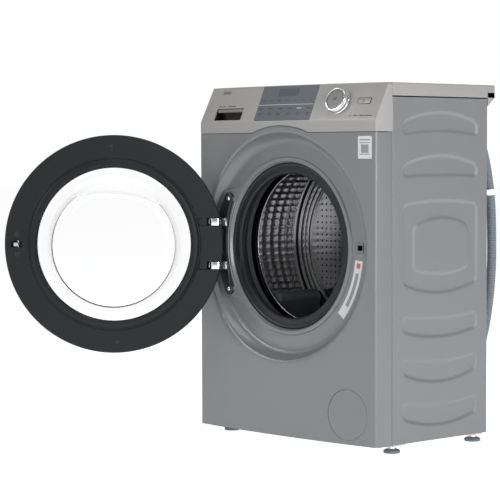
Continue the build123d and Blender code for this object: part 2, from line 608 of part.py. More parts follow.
def build_drum():
    """Drum shell with rolled mouth, back wall, lifters, spider, shaft and pulley."""
    shell = lathe([
        (DRUM_MOUTH_R, DRUM_FRONT_Y - 3), (DRUM_MOUTH_R + 3, DRUM_FRONT_Y - 3),
        (DRUM_MOUTH_R + 3, DRUM_FRONT_Y),
        (DRUM_R, DRUM_FRONT_Y), (DRUM_R, DRUM_BACK_Y + 3), (DRUM_INNER_R, DRUM_BACK_Y + 3),
        (DRUM_INNER_R, DRUM_FRONT_Y + 1.2), (DRUM_MOUTH_R + 1.5, DRUM_FRONT_Y + 1.2),
        (DRUM_MOUTH_R + 1.5, DRUM_FRONT_Y + 4), (DRUM_MOUTH_R, DRUM_FRONT_Y + 4),
    ])
    write("drum_shell", shell)
    back = lathe([
        (0, 94), (60, 94), (78, DRUM_BACK_Y), (238.6, DRUM_BACK_Y), (238.6, 93), (239.8, 93),
        (239.8, DRUM_BACK_Y + 1.2), (77, DRUM_BACK_Y + 1.2), (59, 95.2), (0, 95.2),
    ])
    write("drum_back", back)
    lifters = [about_axis(lifter(), angle) for angle in LIFTER_ANGLES]
    write("drum_lifters", Compound(children=[Part() + piece for piece in lifters]))
    spider = rod_y(40, (DRUM_BACK_Y + 1.6, 117))
    for angle in LIFTER_ANGLES:
        arm = block((0, 228), (DRUM_BACK_Y + 1.6, 112), (AXIS_Z - 16, AXIS_Z + 16))
        spider += about_axis(arm, angle)
    write("drum_spider", spider - rod_y(SHAFT_R, (80, 130)))
    write("drum_shaft", rod_y(SHAFT_R, (DRUM_BACK_Y + 1.6, 187)))
    pulley = ring_y(PULLEY_R, PULLEY_R - 10, PULLEY_Y) + ring_y(26, SHAFT_R, PULLEY_Y)
    spoke = block((20, PULLEY_R - 6), (PULLEY_Y[0] + 4, PULLEY_Y[1] - 4), (AXIS_Z - 9, AXIS_Z + 9))
    for index in range(6):
        pulley += about_axis(spoke, 60 * index) - rod_y(SHAFT_R, (150, 200))
    write("drum_pulley", pulley)


def lifter():
    """One washing paddle on the +X side of the drum wall."""
    outline = Polyline((DRUM_INNER_R - 52, -16), (DRUM_INNER_R - 52, 16), (DRUM_INNER_R - 12, 40),
                       (DRUM_INNER_R + 4, 42), (DRUM_INNER_R + 4, -42), (DRUM_INNER_R - 12, -40), close=True)
    profile = Plane(origin=(0, -76, AXIS_Z), x_dir=(1, 0, 0), z_dir=(0, 1, 0)) * make_face(outline)
    body = extrude(profile, 136, dir=(0, 1, 0))
    slope = Plane(origin=(DRUM_INNER_R - 52, -76, AXIS_Z), x_dir=(0, 0, 1), z_dir=(-1, -0.9, 0))
    body -= slope * Pos(0, 0, 15) * Box(200, 200, 30)
    return body & rod_y(DRUM_INNER_R - 0.2, (-200, 200))


def build_bearings():
    """Two ball bearings in the tub's boss, drawn as plain rings."""
    rings = [ring_y(BEARING_R, SHAFT_R + RUNNING_GAP, span) for span in ((124.4, 138), (144, 158))]
    write("drum_bearings", Compound(children=[Part() + ring for ring in rings]))


def build_heater():
    """Heating element in the sump with its mounting plate."""
    root_y, height = TUB_BACK_Y - 4, 210.0
    bends = ((25, root_y, height), (25, 0, height), (-25, 0, height), (-25, root_y, height))
    route = FilletPolyline(*bends, radius=20)
    tube = sweep(Plane(origin=(25, root_y, height), z_dir=(0, -1, 0)) * Circle(4), path=route)
    back = TUB_BACK_Y + TUB_WALL
    plug = block((-35.5, 35.5), (root_y, back + 0.2), (202.5, 223.5))
    plug += block((-40, 40), (back + 0.2, back + 4), (198, 228))
    write("heater_element", tube + plug)


def build_motor():
    """Motor stator case, rotor with pulley, and the drive belt."""
    case = ring_y(58, 36, (50, 150), MOTOR_X, MOTOR_Z)
    case += ring_y(58, 8.5 + RUNNING_GAP, (46, 50), MOTOR_X, MOTOR_Z)
    case += ring_y(58, 8.5 + RUNNING_GAP, (150, 154), MOTOR_X, MOTOR_Z)
    case += block((-34, 14), (58, 74), (150, 192)) - rod_y(50, (40, 100), MOTOR_X, MOTOR_Z)
    write("motor_stator", case)
    rotor = rod_y(35, (58, 142), MOTOR_X, MOTOR_Z) + rod_y(8.5, (47, PULLEY_Y[1]), MOTOR_X, MOTOR_Z)
    rotor += rod_y(MOTOR_PULLEY_R, PULLEY_Y, MOTOR_X, MOTOR_Z)
    write("motor_rotor", rotor)
    belt_y = (PULLEY_Y[0] + 2, PULLEY_Y[1] - 2)
    write("drive_belt", belt_solid(3.3, belt_y) - belt_solid(0.3, (belt_y[0] - 1, belt_y[1] + 1)))


def belt_solid(grow, span):
    """Solid inside the belt's line, grown by a margin."""
    big, small = PULLEY_R + grow, MOTOR_PULLEY_R + grow
    dx, dz = MOTOR_X, MOTOR_Z - AXIS_Z
    gap = math.hypot(dx, dz)
    heading = math.atan2(dz, dx)
    wrap = math.acos((big - small) / gap)
    corners = []
    for sign in (1, -1):
        angle = heading + sign * wrap
        tips = [(r * math.cos(angle) + x, r * math.sin(angle) + z)
                for r, x, z in ((big, 0, AXIS_Z), (small, MOTOR_X, MOTOR_Z))]
        corners += tips if sign == 1 else tips[::-1]
    web = make_face(Polyline(*[(x, span[0], z) for x, z in corners], close=True))
    body = extrude(web, span[1] - span[0], dir=(0, 1, 0))
    return body + rod_y(big, span) + rod_y(small, span, MOTOR_X, MOTOR_Z)


def build_suspension():
    """Springs, damper bodies and damper rods."""
    sleeve = rod_z(11, (680, 802), SPRING_X, SPRING_Y) - rod_z(8, (670, 810), SPRING_X, SPRING_Y)
    write("suspension_springs", Compound(children=[Part() + sleeve, Part() + mirror(sleeve, about=Plane.YZ)]))
    body = rod_z(18, (30, 176), DAMPER_X, DAMPER_Y) - rod_z(10, (60, 190), DAMPER_X, DAMPER_Y)
    write("damper_bodies", Compound(children=[Part() + body, Part() + mirror(body, about=Plane.YZ)]))
    rod = rod_z(7, (100, 306), DAMPER_X, DAMPER_Y)
    write("damper_rods", Compound(children=[Part() + rod, Part() + mirror(rod, about=Plane.YZ)]))


# ---------------------------------------------------------------- water path

PUMP_Y = (-172.0, -96.0)


def build_pump():
    """Drain pump with its filter chamber, and the screw-in filter."""
    chamber = ring_y(34, FILTER_R + 1.2, PUMP_Y, FLAP_X, FLAP_Z) + rod_y(34, (PUMP_Y[1], -90), FLAP_X, FLAP_Z)
    motor = rod_y(27, (-90, -38), FLAP_X, FLAP_Z)
    inlet = rod_z(12, (FLAP_Z + 28, FLAP_Z + 52), FLAP_X, -110)
    inlet -= rod_z(9, (FLAP_Z + 36, FLAP_Z + 60), FLAP_X, -110)
    outlet = rod_y(9, (-38, -20), FLAP_X, FLAP_Z)
    foot = block((FLAP_X - 25, FLAP_X + 25), (-120, -60), (24, FLAP_Z - 20))
    foot -= rod_y(34, (-200, 0), FLAP_X, FLAP_Z)
    pump = chamber + motor + outlet + (inlet - rod_y(33, (-200, 0), FLAP_X, FLAP_Z)) + foot
    write("drain_pump", pump)
    plug = rod_y(FILTER_R + 1.1, (PUMP_Y[0] + 1, PUMP_Y[0] + 22), FLAP_X, FLAP_Z)
    plug += rod_y(FILTER_R + 6, (PUMP_Y[0] - 5, PUMP_Y[0] - 0.4), FLAP_X, FLAP_Z)
    plug += rod_y(FILTER_R + 1.1, (PUMP_Y[0] - 1, PUMP_Y[0] + 2), FLAP_X, FLAP_Z)
    plug += block((FLAP_X - 20, FLAP_X + 20), (PUMP_Y[0] - 14, PUMP_Y[0] - 4), (FLAP_Z - 3, FLAP_Z + 3))
    plug += ring_y(22, 19, (PUMP_Y[0] + 20, PUMP_Y[1] - 6), FLAP_X, FLAP_Z)
    plug -= block((FLAP_X - 30, FLAP_X + 30), (PUMP_Y[0] + 26, PUMP_Y[1] - 16), (FLAP_Z - 6, FLAP_Z + 6))
    write("pump_filter", plug)


def tube_along(points, radii, outer, inner=0.0):
    """Round tube along straight runs joined by arcs."""
    route = FilletPolyline(*points, radius=radii)
    start = Vector(*points[0])
    heading = (Vector(*points[1]) - start).normalized()
    plane = Plane(origin=start, z_dir=heading)
    profile = Circle(outer) - Circle(inner) if inner else Circle(outer)
    return sweep(plane * profile, path=route), route


def run_radii(points):
    """Largest arc that the shorter neighbouring run allows at each corner."""
    radii = []
    for before, corner, after in zip(points, points[1:], points[2:]):
        arrive = Vector(*corner) - Vector(*before)
        leave = Vector(*after) - Vector(*corner)
        turn = math.radians(arrive.get_angle(leave))
        radii.append(0.45 * min(arrive.length, leave.length) / math.tan(turn / 2))
    return radii


def build_rubber_hoses():
    """Inner hoses: valve to housing, housing to tub, sump to pump, pump to drain gland."""
    fill = rod_y(8, (60.2, 135.8), INLET_X, INLET_Z)
    drop = rod_z(18, (675.5, 733.6), -185, -20) - rod_z(14.4, (660, 740), -185, -20)
    sump = ((50, 30, 179.4), (50, 30, 150), (80, -30, 150), (150, -110, 165), (FLAP_X, -110, 172),
            (FLAP_X, -110, 142.6))
    low, _ = tube_along(sump, [14, 20, 20, 14], 9)
    drain = ((FLAP_X, -19.6, FLAP_Z), (FLAP_X, -4, FLAP_Z), (256, 34, 98), (262, 85, 112),
             (GLAND_X, 140, GLAND_Z), (GLAND_X, 187.6, GLAND_Z))
    out, _ = tube_along(drain, run_radii(drain), 8)
    write("rubber_hoses", Compound(children=[Part() + piece for piece in (fill, drop, low, out)]))


# Drain hose behind the cabinet: up the right side, over near the top and down again.
GLAND_X, GLAND_Z = 240.0, 132.0
HOSE_PATH = (
    (240, 213, 150), (256, 218, 205), (268, 226, 262), (274, 236, 335), (276, 243, 415), (275, 244, 495),
    (275, 241, 570), (271, 232, 645), (262, 223, 705), (239, 219, 755), (192, 218, 779), (146, 219, 762),
    (121, 221, 712), (112, 222, 640), (108, 221, 560), (109, 220, 480), (112, 219, 400), (114, 219, 340),
)
CLIP_SHARES = (0.395, 0.685, 0.975)     # clips, as shares of the hose's length


def build_drain_hose():
    """Drain hose in its clips, with its length and arcs printed."""
    radii = run_radii(HOSE_PATH)
    hose, route = tube_along(HOSE_PATH, radii, HOSE_R)
    print("drain hose radii", [round(r) for r in radii])
    share = hose.volume / (math.pi * HOSE_R ** 2 * route.length)
    print("drain hose length", round(route.length), "volume share", round(share, 4))
    write("drain_hose", hose)
    clips = []
    for share in CLIP_SHARES:
        here = route @ share
        print("clip at", [round(value) for value in here])
        along = route % share
        plane = Plane(origin=here, z_dir=along)
        collar = plane * (Pos(0, 0, -7) * extrude(Circle(HOSE_R + 2.5), 14))
        collar -= plane * (Pos(0, 0, -9) * extrude(Circle(HOSE_R + 0.3), 18))
        post_y = (REAR_Y + 1.0, here.Y - HOSE_R - 0.6)
        post = block((here.X - 6, here.X + 6), post_y, (here.Z - 5, here.Z + 5))
        clips.append(collar + post)
    top = HOSE_PATH[0][2] - 0.5
    gland = block((GLAND_X - 17, GLAND_X + 17), (REAR_Y + 1.0, 227), (GLAND_Z - 16, top))
    gland += rod_y(12.5, (REAR_Y - 12, REAR_Y + 6), GLAND_X, GLAND_Z)
    clips.append(gland)
    write("hose_clips", Compound(children=[Part() + clip for clip in clips]))


def build_screws():
    """Visible fasteners of the casing: hinge bracket, rear panel, cover and worktop."""
    screws = []
    for angle in (150.0, 210.0):
        x = 217 * math.cos(math.radians(angle))
        z = AXIS_Z + 217 * math.sin(math.radians(angle))
        screws.append(rod_y(5.0, (-177.8, -175.2), x, z) + rod_y(2.0, (-177, -166), x, z))
    for x in (-278, 278):
        for z in (60, 250, 440, 640, 780):
            head = rod_y(4.5, (REAR_Y + 1.0, REAR_Y + 3.4), x, z)
            screws.append(head + rod_y(1.8, (REAR_Y - 8, REAR_Y + 2), x, z))
    for index in range(6):
        angle = math.radians(30 + 60 * index)
        x, z = 125 * math.cos(angle), AXIS_Z + 125 * math.sin(angle)
        head = rod_y(4.0, (REAR_Y + 1.9, REAR_Y + 4.1), x, z)
        screws.append(head + rod_y(1.6, (REAR_Y - 6, REAR_Y + 3), x, z))
    write("case_screws", Compound(children=[Part() + screw for screw in screws]))


build_console()
build_knob()
build_side_panels()
build_front_panel()
build_service_flap()
build_base()
build_feet()
build_rear()
build_top()
build_dispenser()
build_door()
build_hinge()
build_door_lock()
build_gasket()
build_tub()
build_weights()
build_drum()
build_bearings()
build_heater()
build_motor()
build_suspension()
build_pump()
build_rubber_hoses()
build_drain_hose()
build_screws()
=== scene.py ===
import json
import logging
import math
from collections.abc import Callable, Iterator, Sequence
from contextlib import contextmanager
from dataclasses import dataclass
from enum import Enum

import bmesh
import bpy
from mathutils import Matrix, Vector


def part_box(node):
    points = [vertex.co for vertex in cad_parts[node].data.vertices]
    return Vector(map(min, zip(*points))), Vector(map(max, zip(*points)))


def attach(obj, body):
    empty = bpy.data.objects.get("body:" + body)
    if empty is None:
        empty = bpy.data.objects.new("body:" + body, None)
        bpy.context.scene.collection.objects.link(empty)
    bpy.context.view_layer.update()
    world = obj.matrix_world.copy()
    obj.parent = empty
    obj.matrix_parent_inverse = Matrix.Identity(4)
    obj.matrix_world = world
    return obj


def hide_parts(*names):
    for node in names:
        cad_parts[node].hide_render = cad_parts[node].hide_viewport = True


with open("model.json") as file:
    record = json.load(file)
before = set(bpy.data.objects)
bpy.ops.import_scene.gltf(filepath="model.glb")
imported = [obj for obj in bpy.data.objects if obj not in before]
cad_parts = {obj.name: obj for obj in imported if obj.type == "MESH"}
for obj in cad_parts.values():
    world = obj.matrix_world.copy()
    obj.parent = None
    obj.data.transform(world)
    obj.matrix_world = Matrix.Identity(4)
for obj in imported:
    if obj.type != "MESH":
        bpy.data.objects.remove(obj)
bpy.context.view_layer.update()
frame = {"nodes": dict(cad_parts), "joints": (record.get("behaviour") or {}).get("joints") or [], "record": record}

log = logging.getLogger("washing_machine")

MM = 0.001                                 # the frame is in metres, the sizes below in millimetres
JOINTS = {joint["name"]: joint for joint in frame["joints"]}
Outline = Sequence[tuple[float, ...]]
Mesh = bpy.types.Object


def joint_place(name: str) -> Vector:
    """The point that a joint turns about, in millimetres."""
    return Vector(JOINTS[name]["pos_m"]) / MM


def corners(node: str) -> tuple[Vector, Vector]:
    """Lowest and highest corner of a CAD node, in millimetres."""
    low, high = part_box(node)
    return low / MM, high / MM


AXIS_Z = joint_place("drum_spin").z
HINGE = joint_place("door_hinge")
DOOR_OPEN = JOINTS["door_hinge"]["range_deg"][1]
HALF_W = corners("front_panel")[1].x
FRONT_Y = corners("front_panel")[0].y
FLANGE_Y = corners("front_panel")[1].y
BASE_Z = corners("front_panel")[0].z
SIDE_LOW, SIDE_HIGH = corners("right_side_panel")
TOP_LOW, TOP_HIGH = corners("worktop")
SEAM_Z = 737.5                             # seam between front panel and console
CREASE_Z = 766.0                           # the console leans back above this
HEIGHT = TOP_HIGH.z
BOW, TOP_BOW, LEAN = 15.0, 22.9, 36.6
ARCH_R = corners("front_panel")[1].z - AXIS_Z
DISH_R = 269.0
SHEET = 0.8                                # thickness of the painted sheets
ARM_HIGH = 17.5                            # height of a hinge arm


# ------------------------------------------------------------------ shader maths

class Level:
    """A number socket. Arithmetic on it adds Math nodes to its tree."""

    def __init__(self, board: "Board", socket: bpy.types.NodeSocket) -> None:
        """Wraps one output socket of a board."""
        self.board, self.socket = board, socket

    def _math(self, operation: str, first: "Level | float", second: "Level | float" = 0.0) -> "Level":
        """Adds one Math node and returns its result."""
        return self.board.level("ShaderNodeMath", {"operation": operation}, {0: first, 1: second})

    def __add__(self, other: "Level | float") -> "Level":
        """Sum."""
        return self._math("ADD", self, other)

    __radd__ = __add__

    def __mul__(self, other: "Level | float") -> "Level":
        """Product."""
        return self._math("MULTIPLY", self, other)

    __rmul__ = __mul__

    def __sub__(self, other: "Level | float") -> "Level":
        """Difference."""
        return self._math("SUBTRACT", self, other)

    def __rsub__(self, other: "Level | float") -> "Level":
        """Difference, the other way round."""
        return self._math("SUBTRACT", other, self)

    def sine(self) -> "Level":
        """Sine of the number."""
        return self._math("SINE", self)


class Board:
    """One material and its nodes."""

    def __init__(self, name: str) -> None:
        """Starts a material with its Principled shader."""
        self.material = bpy.data.materials.new(name)
        self.material.use_nodes = True
        self.tree = self.material.node_tree
        self.shader = self.tree.nodes["Principled BSDF"]

    def node(self, kind: str, settings: dict | None = None, inputs: dict | None = None) -> bpy.types.Node:
        """Adds one node.

        Args:
            kind: the node's type.
            settings: its properties, set first.
            inputs: values or Levels by socket name or number.

        Returns:
            The node.
        """
        made = self.tree.nodes.new(kind)
        for name, value in (settings or {}).items():
            setattr(made, name, value)
        for key, value in (inputs or {}).items():
            self.feed(made.inputs[key], value)
        return made

    def feed(self, socket: bpy.types.NodeSocket, value: "Level | float | Sequence[float]") -> None:
        """Links a Level to a socket, or sets a plain value on it."""
        if isinstance(value, Level):
            self.tree.links.new(value.socket, socket)
        else:
            socket.default_value = value

    def level(self, kind: str, settings: dict | None, inputs: dict | None, output: int = 0) -> Level:
        """Adds a node and wraps one of its outputs."""
        return Level(self, self.node(kind, settings, inputs).outputs[output])

    def place(self, scale: Sequence[float] = (1.0, 1.0, 1.0)) -> Level:
        """Object coordinates, stretched by scale."""
        spot = Level(self, self.node("ShaderNodeTexCoord").outputs["Object"])
        return self.level("ShaderNodeMapping", None, {"Vector": spot, "Scale": scale})

    def noise(self, scale: float, detail: float = 3.0, stretch: Sequence[float] = (1.0, 1.0, 1.0)) -> Level:
        """Cloud noise with scale features per metre."""
        return self.level("ShaderNodeTexNoise", None,
                          {"Vector": self.place(stretch), "Scale": scale, "Detail": detail})

    def blend(self, share: "Level | float", low: Sequence[float], high: Sequence[float]) -> Level:
        """Colour between low and high."""
        return self.level("ShaderNodeMix", {"data_type": "RGBA"},
                          {"Factor": share, 6: (*low[:3], 1.0), 7: (*high[:3], 1.0)}, 2)

    def relief(self, height: Level, distance: float, strength: float = 1.0) -> None:
        """Feeds a bump of the given depth in metres to the shader's normal."""
        bump = self.level("ShaderNodeBump", None,
                          {"Height": height, "Distance": distance, "Strength": strength})
        self.feed(self.shader.inputs["Normal"], bump)

    def give(self, **values: "Level | float | Sequence[float]") -> None:
        """Sets shader sockets by name, with _ for a space."""
        for name, value in values.items():
            self.feed(self.shader.inputs[name.replace("_", " ")], value)


def shade(red: float, green: float, blue: float) -> tuple[float, float, float]:
    """Linear colour of a screen colour given as 0 to 255."""
    def linear(value: float) -> float:
        """One channel."""
        share = value / 255
        return share / 12.92 if share <= 0.04045 else ((share + 0.055) / 1.055) ** 2.4
    return linear(red), linear(green), linear(blue)


def scaled(colour: Sequence[float], share: float) -> tuple[float, ...]:
    """A colour made darker or lighter by a share."""
    return tuple(min(1.0, channel * share) for channel in colour)


# ------------------------------------------------------------------ finishes

@dataclass(frozen=True)
class Coating:
    """Paint, moulded plastic, rubber or print: a colour with fine grain and slight unevenness."""

    name: str
    colour: tuple[float, float, float]
    roughness: float = 0.45
    metallic: float = 0.0
    coat: float = 0.0
    mottle: float = 0.05        # share by which the colour drifts
    grain: float = 900.0        # grains per metre
    relief: float = 0.00003     # depth of the grain in metres
    wear: float = 0.06          # drift of the roughness
    specular: float = 0.5

    def build(self) -> bpy.types.Material:
        """Builds the material."""
        board = Board(self.name)
        drift = board.noise(7.0, 4.0)
        fine = board.noise(self.grain, 2.0)
        dark, light = scaled(self.colour, 1 - self.mottle), scaled(self.colour, 1 + self.mottle)
        board.give(Base_Color=board.blend(drift * 0.7 + fine * 0.3, dark, light), Metallic=self.metallic,
                   Roughness=drift * self.wear + (self.roughness - self.wear / 2), Coat_Weight=self.coat,
                   Coat_Roughness=0.18, Specular_IOR_Level=self.specular)
        board.relief(fine, self.relief)
        return board.material


@dataclass(frozen=True)
class Metal:
    """Bare metal with streaks along one axis."""

    name: str
    colour: tuple[float, float, float]
    roughness: float = 0.3
    streak: tuple[float, float, float] = (1.0, 1.0, 1.0)
    scale: float = 260.0
    relief: float = 0.00002

    def build(self) -> bpy.types.Material:
        """Builds the material."""
        board = Board(self.name)
        lines = board.noise(self.scale, 3.0, self.streak)
        clouds = board.noise(9.0, 4.0)
        dull = scaled(self.colour, 0.86)
        board.give(Base_Color=board.blend(clouds, dull, self.colour), Metallic=1.0,
                   Roughness=lines * 0.10 + clouds * 0.06 + (self.roughness - 0.08))
        board.relief(lines, self.relief)
        return board.material


@dataclass(frozen=True)
class Cast:
    """Rough cast or poured stock, such as concrete or alloy."""

    name: str
    colour: tuple[float, float, float]
    metallic: float = 0.0
    roughness: float = 0.8

    def build(self) -> bpy.types.Material:
        """Builds the material."""
        board = Board(self.name)
        lumps = board.noise(90.0, 5.0)
        pores = board.level("ShaderNodeTexVoronoi", None, {"Vector": board.place(), "Scale": 140.0})
        dark = scaled(self.colour, 0.75)
        board.give(Base_Color=board.blend(lumps, dark, self.colour), Metallic=self.metallic,
                   Roughness=lumps * 0.2 + (self.roughness - 0.1))
        board.relief(lumps + pores * 0.5, 0.0004)
        return board.material


@dataclass(frozen=True)
class Glass:
    """Clear pressed glass with a faint ripple."""

    name: str
    tint: tuple[float, float, float]

    def build(self) -> bpy.types.Material:
        """Builds the material."""
        board = Board(self.name)
        board.give(Base_Color=board.blend(board.noise(5.0), self.tint, (1.0, 1.0, 1.0)), Roughness=0.01,
                   Transmission_Weight=1.0, IOR=1.12)
        board.relief(board.noise(14.0, 1.0), 0.0002, 0.3)
        return board.material


@dataclass(frozen=True)
class Corrugated:
    """Ribbed hose, its ribs stacked along Z, with painted shade darkening the troughs between ribs."""

    name: str
    colour: tuple[float, float, float]
    pitch: float = 4.0          # millimetres between ribs

    def build(self) -> bpy.types.Material:
        """Builds the material."""
        board = Board(self.name)
        split = board.node("ShaderNodeSeparateXYZ", None, {"Vector": board.place()})
        ribs = (Level(board, split.outputs["Z"]) * (2 * math.pi / (self.pitch * MM))).sine() * 0.5 + 0.5
        # Colour darker in the rib troughs: painted shade on top of the bump.
        dark = scaled(self.colour, 0.7)
        board.give(Base_Color=board.blend(ribs, dark, self.colour), Roughness=board.noise(12.0) * 0.1 + 0.42)
        board.relief(ribs, 0.0012)
        return board.material


class Finish(Enum):
    """The finishes by their use; the value is the finish and the record's material slot."""

    PAINT = (Coating("painted_sheet", shade(111, 112, 114), 0.44, 0.2, 0.55, 0.03), "painted_grey")
    CONSOLE = (Coating("console_moulding", shade(146, 145, 143), 0.44, 0.15, 0.1, 0.03, 1400.0),
               "console_grey")
    TOUCH = (Coating("touch_window", shade(88, 93, 98), 0.2, 0.0, 0.3, 0.03, 60.0, 0.000004), "touch_grey")
    DISPLAY = (Coating("display_window", shade(74, 79, 84), 0.16, 0.0, 0.4, 0.02, 60.0, 0.000004),
               "touch_grey")
    DOOR_DARK = (Coating("door_liner", shade(26, 28, 31), 0.52, 0.0, 0.0, 0.06, 1600.0, 0.00005, 0.06, 0.25),
                 "door_dark")
    DOOR_COVER = (Coating("door_cover", shade(52, 54, 58), 0.24, 0.1, 0.4, 0.04), "door_cover")
    SEAL = (Coating("seal_rubber", shade(23, 26, 30), 0.38, 0.0, 0.0, 0.10, 700.0, 0.00004, 0.06, 0.3),
            "gasket_rubber")
    BLACK = (Coating("black_moulding", shade(14, 14, 15), 0.5, 0.0, 0.0, 0.15), "black_plastic")
    LIFTER = (Coating("lifter_moulding", shade(112, 114, 117), 0.30, 0.0, 0.1, 0.08), "board_case")
    CASE = (Coating("case_moulding", shade(98, 104, 108), 0.5, 0.0, 0.0, 0.08), "board_case")
    WHITE = (Coating("white_moulding", shade(226, 226, 222), 0.42, 0.0, 0.0, 0.03), "white_plastic")
    TUB = (Coating("tub_moulding", shade(50, 52, 54), 0.6, 0.0, 0.0, 0.08, 500.0, 0.0001), "tub_plastic")
    KNOB_FACE = (Coating("knob_face", shade(114, 113, 113), 0.38, 0.3, 0.0, 0.03), "knob_grey")
    PRINT = (Coating("dark_print", shade(46, 48, 52), 0.5, 0.0, 0.0, 0.1), "touch_grey")
    LINE = (Coating("light_print", shade(176, 182, 188), 0.4, 0.0, 0.0, 0.05), "touch_grey")
    LABEL = (Coating("label_film", shade(192, 196, 201), 0.35, 0.0, 0.1, 0.02), "white_plastic")
    LABEL_PRINT = (Coating("label_print", shade(128, 128, 132), 0.5, 0.0, 0.0, 0.1), "white_plastic")
    LABEL_ACCENT = (Coating("label_accent", shade(196, 74, 70), 0.5, 0.0, 0.0, 0.1), "white_plastic")
    CHROME = (Metal("chrome_plate", (0.86, 0.87, 0.89), 0.14, (1.0, 1.0, 1.0), 30.0, 0.0000005),
              "chrome_trim")
    ZINC = (Metal("zinc_sheet", (0.60, 0.61, 0.63), 0.38, (1.0, 1.0, 1.0), 120.0), "zinc_steel")
    STAINLESS = (Metal("drum_steel", (0.50, 0.50, 0.51), 0.19, (1.0, 12.0, 1.0), 60.0, 0.00001), "stainless")
    BRACKET = (Coating("bracket_coating", shade(40, 44, 46), 0.34, 0.5, 0.2, 0.1, 500.0), "bracket_steel")
    ALLOY = (Cast("cast_alloy", (0.55, 0.55, 0.56), 0.9, 0.5), "cast_alloy")
    CONCRETE = (Cast("poured_weight", shade(168, 165, 160)), "concrete")
    GLASS = (Glass("bowl_glass", (0.99, 0.995, 0.995)), "clear_glass")
    HOSE = (Corrugated("hose_ribs", shade(116, 124, 131)), "hose_rubber")

    @property
    def slot(self) -> str:
        """The record's material slot."""
        return self.value[1]

    def material(self) -> bpy.types.Material:
        """The finish's material, built on first use."""
        return bpy.data.materials.get(self.value[0].name) or self.value[0].build()


# ------------------------------------------------------------------ modelling steps

def add_mesh(name: str, points: Sequence[Sequence[float]], faces: Sequence = (),
             edges: Sequence = ()) -> Mesh:
    """Adds a mesh from points in millimetres."""
    data = bpy.data.meshes.new(name)
    data.from_pydata([Vector(point) * MM for point in points], edges, faces)
    piece = bpy.data.objects.new(name, data)
    bpy.context.scene.collection.objects.link(piece)
    return piece


def activate(piece: Mesh) -> None:
    """Makes a piece the only selected object and the active one."""
    bpy.ops.object.select_all(action="DESELECT")
    piece.select_set(True)
    bpy.context.view_layer.objects.active = piece


@contextmanager
def editing(piece: Mesh, everything: bool = False) -> Iterator[None]:
    """Edit mode on one piece, with nothing or everything selected."""
    activate(piece)
    bpy.ops.object.mode_set(mode="EDIT")
    bpy.ops.mesh.select_mode(type="VERT")
    bpy.ops.mesh.select_all(action="SELECT" if everything else "DESELECT")
    yield
    bpy.ops.object.mode_set(mode="OBJECT")


def choose(piece: Mesh, kind: str, test: Callable[[Vector, Vector], bool]) -> int:
    """Selects faces or edges by place while in edit mode.

    Args:
        piece: the mesh in edit mode.
        kind: FACE or EDGE.
        test: takes a face's middle and normal, or an edge's middle and direction, in millimetres.

    Returns:
        How many were selected.
    """
    bpy.ops.mesh.select_mode(type=kind)
    mesh = bmesh.from_edit_mesh(piece.data)
    for part in (mesh.faces, mesh.edges, mesh.verts):
        for item in part:
            item.select = False
    count = 0
    for item in (mesh.faces if kind == "FACE" else mesh.edges):
        middle = sum((vertex.co for vertex in item.verts), Vector()) / len(item.verts) / MM
        if kind == "FACE":
            along = item.normal
        else:
            along = (item.verts[1].co - item.verts[0].co).normalized()
        if test(middle, along):
            item.select_set(True)
            count += 1
    bmesh.update_edit_mesh(piece.data)
    return count


def bevel_edges(piece: Mesh, test: Callable[[Vector, Vector], bool], width: float, segments: int = 3) -> None:
    """Rounds the edges that pass the test."""
    with editing(piece):
        if choose(piece, "EDGE", test):
            bpy.ops.mesh.bevel(offset=width * MM, segments=segments, affect="EDGES", clamp_overlap=True)


def delete_faces(piece: Mesh, test: Callable[[Vector, Vector], bool]) -> None:
    """Deletes the faces that pass the test."""
    with editing(piece):
        if choose(piece, "FACE", test):
            bpy.ops.mesh.delete(type="FACE")


def recalculate(piece: Mesh) -> None:
    """Merges doubles and turns the faces outwards."""
    with editing(piece, everything=True):
        bpy.ops.mesh.remove_doubles(threshold=0.00001)
        bpy.ops.mesh.normals_make_consistent(inside=False)


def apply_modifier(piece: Mesh, kind: str, **settings: object) -> None:
    """Adds a modifier and applies it."""
    modifier = piece.modifiers.new(kind.lower(), kind)
    for name, value in settings.items():
        setattr(modifier, name, value)
    activate(piece)
    bpy.ops.object.modifier_apply(modifier=modifier.name)


def thicken(piece: Mesh, thick: float, offset: float = -1.0) -> None:
    """Gives a surface its thickness in millimetres, inwards, outwards (1) or both ways (0)."""
    apply_modifier(piece, "SOLIDIFY", thickness=thick * MM, offset=offset)


def pull(x: float, y: float, z: float = 0.0) -> None:
    """Extrudes the selected edges by a step in millimetres."""
    bpy.ops.mesh.extrude_edges_move(TRANSFORM_OT_translate={"value": (x * MM, y * MM, z * MM)})


def face_front(piece: Mesh) -> None:
    """Turns a sheet's faces over if they look towards the rear."""
    if sum(face.normal.y * face.area for face in piece.data.polygons) > 0:
        with editing(piece, everything=True):
            bpy.ops.mesh.flip_normals()


def cut(piece: Mesh, *tools: Mesh) -> None:
    """Cuts the tools' shapes out of a piece and removes the tools."""
    for tool in tools:
        apply_modifier(piece, "BOOLEAN", operation="DIFFERENCE", solver="EXACT", object=tool)
        bpy.data.objects.remove(tool)


def join(name: str, pieces: Sequence[Mesh]) -> Mesh:
    """Joins pieces into one object."""
    activate(pieces[0])
    for piece in pieces:
        piece.select_set(True)
    if len(pieces) > 1:
        bpy.ops.object.join()
    pieces[0].name = name
    return pieces[0]


def moved(piece: Mesh, matrix: Matrix) -> Mesh:
    """Moves a piece's mesh by a matrix in millimetres."""
    scaled = matrix.copy()
    scaled.translation = scaled.translation * MM
    piece.data.transform(scaled)
    return piece


def turn(angle: float, axis: str, centre: Sequence[float]) -> Matrix:
    """Matrix of a turn about an axis through a point.

    Args:
        angle: degrees.
        axis: X, Y or Z.
        centre: the point, in millimetres.

    Returns:
        The matrix.
    """
    centre = Vector(centre)
    return Matrix.Translation(centre) @ Matrix.Rotation(math.radians(angle), 4,
                                                        axis) @ Matrix.Translation(-centre)


